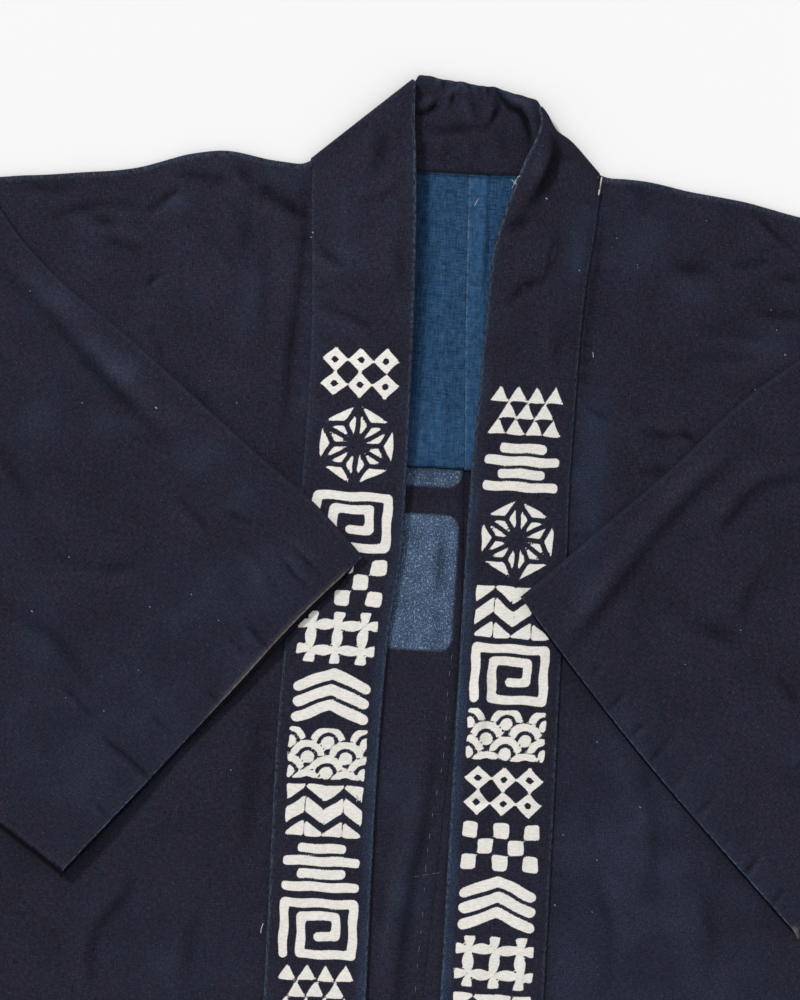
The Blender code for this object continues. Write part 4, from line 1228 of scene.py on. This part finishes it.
# how worn the cuff is, by how far down it from the top fold
cuffWear = {
    "right": (
        (0, 0.5), (50, 0.35), (120, 0.5), (180, 0.7), (267, 0.8),
    ),
    "left": (
        (0, 0.6), (60, 0.5), (140, 0.6), (230, 0.8), (267, 1.0),
    ),
}
sleeveCut = {
    "width": 349.0,  # armhole to cuff
    "height": 266.0,  # top fold to bottom seam
    "wall": 0.8,
    "lowZ": 0.45,
    "highZ": 2.4,
    "foldZ": 3.7,
    "armholeGap": 0.15,
    "foldStart": 1.5,
    "flapSettle": 60.0,
    "collarLift": 3.8,
    "collarLiftFrom": 160.0,
    "collarLiftTo": 98.0,
    "cornerLift": 6.0,
    "cornerOut": 200.0,
    "cornerDown": 120.0,
    "downPitch": 1.8,  # the wall that shows; the one below it has a coarser pitch
    "downCoarse": 6.0,
    "over": ((24.0, 2.4), (262.0, 4.0), (315.5, 2.4), (317.0, 0.5)),  # from the fold to the cuff
    "underSteps": 12,
    "turnSteps": 12,
    "edgeSteps": 4,
    # the strip by which the wall underneath stands out at the bottom seam is painted dark, as a painted shadow
    # line
    "proudHem": 4.6,  # how far the wall underneath stands out past the other at the bottom seam
    "hemBand": 30.0,  # over what width it does so there, and at the cuff
    "cuffBand": 40.0,
    "tip": 6.0,  # how far down the cuff its tip ends, and over what width
    "tipWide": 14.0,
    "foldRest": 14.0,  # how far past the fold line the cloth lies free again
    "rawWide": 1.1,
    "shadeWide": 3.0,
    "shade": 0.86,
    "pressed": 0.85,  # how much closer the two walls lie where the flap is flat
}
sleeveCreases = {
    "right": (
        (((-287, -74), (-263, -93), (-246, -108), (-233, -123), (-211, -144), (-186, -167), (-160, -187)), 5.2,
            0.9, -0.9),
        (((-134, -221), (-122, -225), (-111, -229)), 1.9, 0.8, -0.3),
        (((-91, -239), (-79, -249), (-67, -259)), 1.7, 0.8, -0.6),
        (((-96, -247), (-86, -258), (-75, -269)), 1.7, 0.9, -0.6),
        (((-114, -291), (-106, -299), (-97, -308)), 1.7, 1.0, 0.5),
        (((-201, -367), (-184, -379), (-166, -394)), 1.8, 1.2, 0.4),
        (((-227, -337), (-217, -346), (-207, -356)), 2.0, 0.8, 0.3),
        (((-150, -378), (-138, -389)), 1.6, 0.7, 0.3), (((-204, -406), (-191, -420)), 1.6, 0.6, 0.3),
        (((-139, -333), (-129, -341), (-120, -350)), 1.7, 0.7, 0.3),
        (((-125, -300), (-113, -312)), 1.6, 0.6, 0.4), (((-171, -352), (-157, -364)), 1.6, 0.6, 0.4),
        (((-163, -214), (-150, -225), (-141, -236)), 3.2, 0.6, 0.3),
        (((-274, -284), (-231, -309), (-206, -342)), 5.0, 0.6, 0.3),
        (((-238, -258), (-208, -263), (-179, -259)), 3.6, 0.6, 0.3),
        (((-300, -180), (-270, -200), (-250, -228)), 4.5, 0.5, 0.3),
        (((-120, -240), (-104, -256), (-96, -274)), 3.0, 0.4, 0.4),
    ),
    "left": (
        (((189, -166), (166, -188), (148, -210), (135, -227), (124, -245), (113, -261), (99, -281), (85,
            -302)), 4.8, 1.1, 0.9),
        (((233, -176), (205, -184), (192, -197), (178, -219)), 4.2, 1.0, 0.5),
        (((115, -333), (121, -325), (128, -318)), 1.8, 0.9, 0.4),
        (((129, -349), (135, -343), (142, -336)), 1.7, 0.8, 0.4),
        (((143, -364), (150, -355), (157, -345)), 1.7, 0.8, 0.3),
        (((172, -398), (179, -390), (187, -381)), 1.8, 0.7, 0.4),
        (((205, -432), (211, -424), (216, -415)), 1.8, 1.0, 0.5),
        (((145, -272), (154, -279), (164, -287)), 1.7, -0.5, 0.0),
        (((160, -272), (180, -279), (200, -287)), 5.0, 0.7, 0.3),
        (((221, -304), (228, -312), (235, -322)), 3.2, 0.8, 0.3), (((80, -262), (93, -273)), 2.0, 0.6, 0.3),
        (((223, -450), (233, -436)), 1.9, 0.7, 0.4), (((102, -311), (109, -303)), 1.7, 0.6, 0.3),
        (((158, -379), (166, -369)), 1.7, 0.5, 0.3), (((190, -416), (198, -405)), 1.7, 0.5, 0.3),
        (((216, -230), (200, -252), (196, -276)), 4.0, 0.5, 0.3),
    ),
}


def sleeve(side):
    # worked out unfolded, by how far out and how far down the sleeve a point is and how high it lies; past a
    # slanting fold line it then turns over about an axis at foldZ
    look, sign, lay = sleeveCut, sides[side], sleeveLay[side]
    tilt, droop = radians(lay.foldAngle), radians(lay.droop)
    outward = np.array((sign * cos(droop), -sin(droop)))
    downward = np.array((-sign * sin(droop), -cos(droop)))
    foldAlong = sin(tilt) * outward + cos(tilt) * downward
    foldAway = cos(tilt) * outward - sin(tilt) * downward
    edgeRadius = (look["highZ"] - look["lowZ"]) / 2
    foldRadius = look["foldZ"] - (look["highZ"] + look["lowZ"]) / 2

    fine, coarse = (
        look["height"] * np.linspace(0.0, 1.0, round(look["height"] / pitch))
        for pitch in (look["downPitch"], look["downCoarse"])
    )
    turn = halfTurn(look["edgeSteps"])
    bulge, rise = edgeRadius * np.sin(turn), edgeRadius * (1 - np.cos(turn))
    down = np.concatenate([fine, look["height"] + bulge, coarse[::-1], -bulge, fine[:1]])[:, None]
    low, high = np.full_like(fine, look["lowZ"]), np.full_like(coarse, look["highZ"])
    height = np.concatenate([low, look["lowZ"] + rise, high, look["highZ"] - rise, low[:1]])[:, None]
    wallShare = (height - look["lowZ"]) / (look["highZ"] - look["lowZ"])  # 0 on the back wall, 1 on the front

    foldOut = look["foldStart"] + down * tan(tilt)
    foldLength = pi * foldRadius / cos(tilt)
    underShare = np.linspace(0.0, 1.0, look["underSteps"])[None, :]
    under = look["armholeGap"] + (foldOut - look["armholeGap"]) * underShare
    turning = foldOut + foldLength * np.linspace(0.0, 1.0, look["turnSteps"] + 1)[None, 1:-1]
    overFrom = foldOut + foldLength
    overShare = stretches(look["over"])[None, :]
    over = overFrom + (look["width"] - overFrom) * overShare / overShare[0, -1]
    out = np.hstack([under, turning, over])

    settle = smooth((out - foldOut) / look["flapSettle"])
    cuff = (read(cuffEdge[side], down) + lay.skew * down) * (out / look["width"]) ** 2
    top = read(topEdge[side], out) * (1 - down / look["height"]) ** 2
    bottom = read(bottomEdge[side], out) * (down / look["height"]) ** 2
    trueOut = out + cuff * settle - look["foldStart"]
    # the front wall, which the fold turns underneath, stands out past the other at the cuff and the bottom
    # seam, as a strip painted dark for the shadow line beside them
    nearHem = smooth((down - look["height"] + look["hemBand"]) / look["hemBand"])
    nearCuff = smooth((out - look["width"] + look["cuffBand"]) / look["cuffBand"])
    pastTip = smooth((down - look["tip"]) / look["tipWide"])
    proudHem = look["proudHem"] * wallShare * nearHem
    trueDown = down + (bottom - top) * settle + settle * proudHem
    proud = lay.proud * nearCuff * pastTip
    if side == "right":
        proud = proud * (0.7 + 0.3 * smooth((170.0 - down) / 60.0))
    trueOut = trueOut + proud * wallShare

    pastFold = trueOut * cos(tilt) - trueDown * sin(tilt)
    downFold = trueOut * sin(tilt) + trueDown * cos(tilt)
    angle = np.clip(pastFold / foldRadius, 0.0, pi)
    radius = look["foldZ"] - height
    beyond = np.maximum(pastFold - pi * foldRadius, 0.0)
    fromFold = np.minimum(pastFold, 0.0) + radius * np.sin(angle) - beyond
    start = np.array((sign * lay.startOut, lay.startY)) + look["foldStart"] * outward
    x = start[0] + downFold * foldAlong[0] + fromFold * foldAway[0]
    y = start[1] + downFold * foldAlong[1] + fromFold * foldAway[1]

    climb = smooth((look["collarLiftFrom"] - sign * x) / (look["collarLiftFrom"] - look["collarLiftTo"]))
    corner = look["cornerLift"] * smooth((out - look["cornerOut"]) / (look["width"] - look["cornerOut"]))
    corner = corner * smooth((down - look["cornerDown"]) / (look["height"] - look["cornerDown"]))
    laid = smooth(beyond / look["flapSettle"])
    z = look["foldZ"] - radius * np.cos(angle) + (look["collarLift"] * climb + corner) * laid
    # both walls rise with the ground below them, and crease together, the upper one more
    free = smooth(beyond / look["foldRest"])
    fold = creased(x, y, sleeveCreases[side]) * free
    lift = ground(x, y) * smooth(beyond / 30.0) + 0.12 * swell(x, y, 30.0, 21 + sign) * free
    z = z + lift + (fold + 0.35 * free) * (1.0 - 0.45 * wallShare)
    z = z - look["pressed"] * laid * (1.0 - wallShare)
    # at the armhole the front wall rises to meet the front
    atArmhole = 1 - smooth((out - look["armholeGap"]) / 18.0)
    z = z + wallShare * (bodyCut["frontZ"] - look["highZ"]) * atArmhole * (pastFold < 0)

    fromCuff = look["width"] - out
    fromEdge = np.minimum(down, look["height"] - down)
    fromFoldLine = np.maximum(abs(pastFold - pi * foldRadius / 2) - 3.0, 0.0)
    wear = 1.15 * read(cuffWear[side], down) * bell(fromCuff, 0.7) * (1 - wallShare) + 0.1 * bell(fromEdge, 0.6)
    # the cuff shows its raw edge on the right near the tip, and on the left at the corner where the wall
    # underneath looks out; elsewhere that wall's strip past the cuff and the bottom seam is painted dark, as
    # painted shadow
    raw = bell(fromCuff, look["rawWide"]) * (1 - wallShare) * smooth((150.0 - down) / 50.0) * pastTip
    if side == "left":
        raw = bell(np.hypot(fromCuff, look["height"] - down), 2.2)
    shade = np.maximum(bell(fromCuff, look["shadeWide"]), bell(look["height"] - down, look["shadeWide"]))
    shade = look["shade"] * (shade * smooth(3.0 * wallShare)) * (1 - raw)
    grid = {
        "points": points(x, y, z),
        "map": points(out, down + wallShare * 2 * (look["height"] - down)),
        "values": {
            "tone": dyeAndCreaseShade(x, y, fold) * (1 - shade),
            "fade": 0.7 * faded(x, y) + 0.12 * bell(fromFoldLine, 8.0) + 0.2 * bell(fromCuff, 14.0),
            "wear": np.clip(wear + 0.06 * bell(fromFoldLine, 3.0), 0.0, 1.0),
            "raw": raw,
        },
    }
    return clothPiece(
        "sleeve_" + side + "_cloth", (grid,), look["wall"], (finish["outside"],),
        ("sleeve_" + side,),
    )


sleeves = {side: sleeve(side) for side in sides}

# threads: running stitches up the back's middle, and the loose ends and fluff that cling to the cloth
threadWork = {
    "ring": 6,  # sides of a thread
    "rise": 0.35,  # how high a stitch arches
    "sink": 0.55,  # how deep its ends go in
    "stitchPitch": 12.4,
    "stitchLong": 3.6,
    "stitchRadius": 0.2,
    "dropFrom": 60.0,  # the height from which the cloth's top is sought
}
stitchLine = (
    (16.3, -303), (15.4, -318), (15, -332), (15.4, -351), (15, -368), (13.5, -383), (10.8, -398), (8.8, -424),
    (8, -440), (8, -468), (7.6, -480), (6.7, -496), (6.4, -512),
    (5.0, -600), (2.0, -760), (0.5, -930),
)


def settled(piece):
    # a piece as the modifiers leave it, to ask how high its top is
    return BVHTree.FromObject(piece, bpy.context.evaluated_depsgraph_get())


def heightOn(trees, x, y):
    # the highest top among some pieces at one place, in millimetres
    above = Vector(place(np.array((x, y, threadWork["dropFrom"]))).tolist())
    hits = [tree.ray_cast(above, Vector((0.0, 0.0, -1.0)))[0] for tree in trees]
    return max([hit.z / mm for hit in hits if hit is not None], default=0.0)


def tube(path, radius, ring):
    # a ring of points carried along a path, from one closed end to the other
    way = np.gradient(path, axis=0)
    way = way / np.linalg.norm(way, axis=1, keepdims=True)
    beside = np.cross(way, (0.0, 0.0, 1.0))
    beside = beside / np.linalg.norm(beside, axis=1, keepdims=True)
    above = np.cross(beside, way)
    turn = np.linspace(0.0, 2 * pi, ring + 1)[None, :, None]
    around = beside[:, None] * np.cos(turn) + above[:, None] * np.sin(turn)
    thick = np.full(len(path), radius)
    thick[[0, -1]] = 0.0
    thick[[1, -2]] = 0.75 * radius
    return path[:, None] + thick[:, None, None] * around


def layThreads(name, threads, trees, arched, finishKey):
    # every thread is a path and a radius. It follows its path a radius above the cloth, and an arched one dives
    # into the cloth at both ends
    look, grids = threadWork, []
    for corners, radius in threads:
        corners = np.array(corners, dtype=float)
        run = runAlong(corners)
        at = np.linspace(0.0, run[-1], 9)
        at = np.sort(np.concatenate([[0.02 * run[-1], 0.98 * run[-1]], at]))
        flat = np.stack([np.interp(at, run, corners[:, 0]), np.interp(at, run, corners[:, 1])], axis=-1)
        top = np.array([heightOn(trees, *spot) for spot in flat])
        lift = 0.7 * radius
        if arched:
            lift = (look["rise"] + look["sink"]) * np.sin(pi * (at / run[-1])) ** 0.6 - look["sink"]
        surface = tube(np.hstack([flat, (top + lift)[:, None]]), radius, look["ring"])
        cloth = points(at[:, None], np.arange(look["ring"] + 1)[None, :])
        grids.append({"points": surface, "map": cloth, "values": {}})
    return clothPiece(name, grids, None, (finish[finishKey],))


def seamStitches():
    # one stitch every 10 to 15 mm beside the centre seam, each a little longer or shorter than the last
    line = np.array(stitchLine, dtype=float)
    run = runAlong(line)
    starts = np.arange(0.0, run[-1] - 6.0, threadWork["stitchPitch"])
    count = np.arange(len(starts))
    starts = starts + 2.2 * np.sin(5.0 * count)
    ends = starts + (threadWork["stitchLong"] + 0.9 * np.sin(3.0 * count))
    starts, ends = (points(*(np.interp(at, run, line[:, axis]) for axis in (0, 1))) for at in (starts, ends))
    return [(pair, threadWork["stitchRadius"]) for pair in zip(starts, ends)]


backTrees = [settled(bodies[side]) for side in sides]
allTrees = backTrees + [settled(piece) for piece in (yokes["right"], yokes["left"], collar, *sleeves.values())]
crossStitches = [
    (((1.0, -444.4), (4.5, -443.6)), 0.16), (((6.2, -443.2), (10.5, -442.2)), 0.16),
    (((12.0, -441.8), (17.4, -440.8)), 0.16),
]
layThreads("back_stitches", seamStitches() + crossStitches, backTrees, True, "blue")
looseEnds = (
    (((92.2, 3.2), (91.9, 1.0), (91.3, -4.0), (90.6, -9.0)), 0.55),
    (((13.4, -19.8), (14.2, -17.6), (15.8, -15.0)), 0.18),
    (((37.0, -4.5), (38.4, -1.6), (40.6, -0.6)), 0.22),
    (((35.6, -1.6), (37.6, -3.4), (38.2, -6.4)), 0.22),
    (((39.6, 0.8), (38.2, -3.0), (36.2, -7.4)), 0.2),
    (((-91.9, -479.0), (-93.0, -482.5), (-93.2, -485.5)), 0.3),
    (((-38.4, -394.6), (-37.4, -396.8), (-38.0, -399.0)), 0.3),
    (((93.2, -107.4), (93.8, -110.8)), 0.18),
)
layThreads("loose_threads", looseEnds, allTrees, False, "white")
# where a bit of fluff lies, and its size
fluffPlaces = (
    (-87.2, -43.2, 0.8), (-88.2, -46.0, 0.75), (57.9, -13.5, 0.85), (203.7, -74.0, 0.5), (214.2, -101.8, 0.75),
    (-225.4, -159.0, 0.5), (-178.7, -159.3, 1.0), (-248.8, -291.7, 0.8), (-227.6, -256.3, 0.6),
    (-149.5, -274.9, 0.6), (-199.7, -351.2, 0.5), (-224.1, -344.4, 0.45), (81.4, -56.9, 0.6),
    (196.7, -124.9, 0.5), (110.9, -352.4, 0.55), (140.4, -391.6, 0.7), (93.1, -412.1, 0.6),
    (115.4, -426.6, 0.6), (90.7, -456.5, 0.7), (114.3, -459.4, 0.5), (196.5, -276.4, 0.5),
    (-128.6, -153.0, 0.5), (-146.4, -140.2, 0.4), (103.9, -34.9, 0.45), (117.9, -50.9, 0.4),
    (118.2, -52.7, 0.4), (208.0, -86.4, 0.5), (159.8, -20.5, 0.4), (-175.0, -284.4, 0.7),
    (-131.3, -290.2, 0.45), (-179.7, -324.7, 0.45), (-118.2, -384.0, 0.5), (-262.4, -90.8, 0.45),
    (163.0, -300.0, 0.4), (128.0, -560.0, 0.6), (-160.0, -610.0, 0.6), (-120.0, -760.0, 0.5),
    (196.0, -700.0, 0.6), (30.0, -640.0, 0.5), (-210.0, -860.0, 0.6), (150.0, -880.0, 0.5),
)
fluffBits = [
    (((x - 0.8 * size, y + 0.3 * size), (x, y), (x + 0.6 * size, y - 0.7 * size)), 0.5 * size)
    for x, y, size in fluffPlaces
]
layThreads("fluff", fluffBits, allTrees, False, "lint")

# floor and light
studio = {
    "floor": "f7f7f7",
    "floorSize": 40.0,
    "sky": 0.62,
    "sun": 1.9,
    "sunFrom": (-0.62, 0.62, 0.75),
    "sunSoft": 10.0,
}
floorMesh = bpy.data.meshes.new("floor")
reach = studio["floorSize"] / 2
floorCorners = [(x, y, 0.0) for x, y in ((-reach, -reach), (reach, -reach), (reach, reach), (-reach, reach))]
floorMesh.from_pydata(floorCorners, [], [(0, 1, 2, 3)])
paper = {"Base Color": linear(studio["floor"]), "Roughness": 1.0, "Specular IOR Level": 0.0}
floorMesh.materials.append(newMaterial("matt white paper backdrop", paper)[0])
floor = bpy.data.objects.new("floor", floorMesh)
bpy.context.collection.objects.link(floor)

sky = bpy.data.worlds.new("studio")
sky.use_nodes = True
sky.node_tree.nodes["Background"].inputs["Color"].default_value = (1.0, 1.0, 1.0, 1.0)
sky.node_tree.nodes["Background"].inputs["Strength"].default_value = studio["sky"]
bpy.context.scene.world = sky
sunLight = bpy.data.lights.new("key", "SUN")
sunLight.energy = studio["sun"]
sunLight.angle = radians(studio["sunSoft"])
sun = bpy.data.objects.new("key", sunLight)
fromX, fromY, fromZ = studio["sunFrom"]
sun.rotation_euler = (0.0, atan2(np.hypot(fromX, fromY), fromZ), atan2(fromY, fromX))
bpy.context.collection.objects.link(sun)
bpy.context.scene.view_settings.view_transform = "Standard"
print("floor, light and camera set")
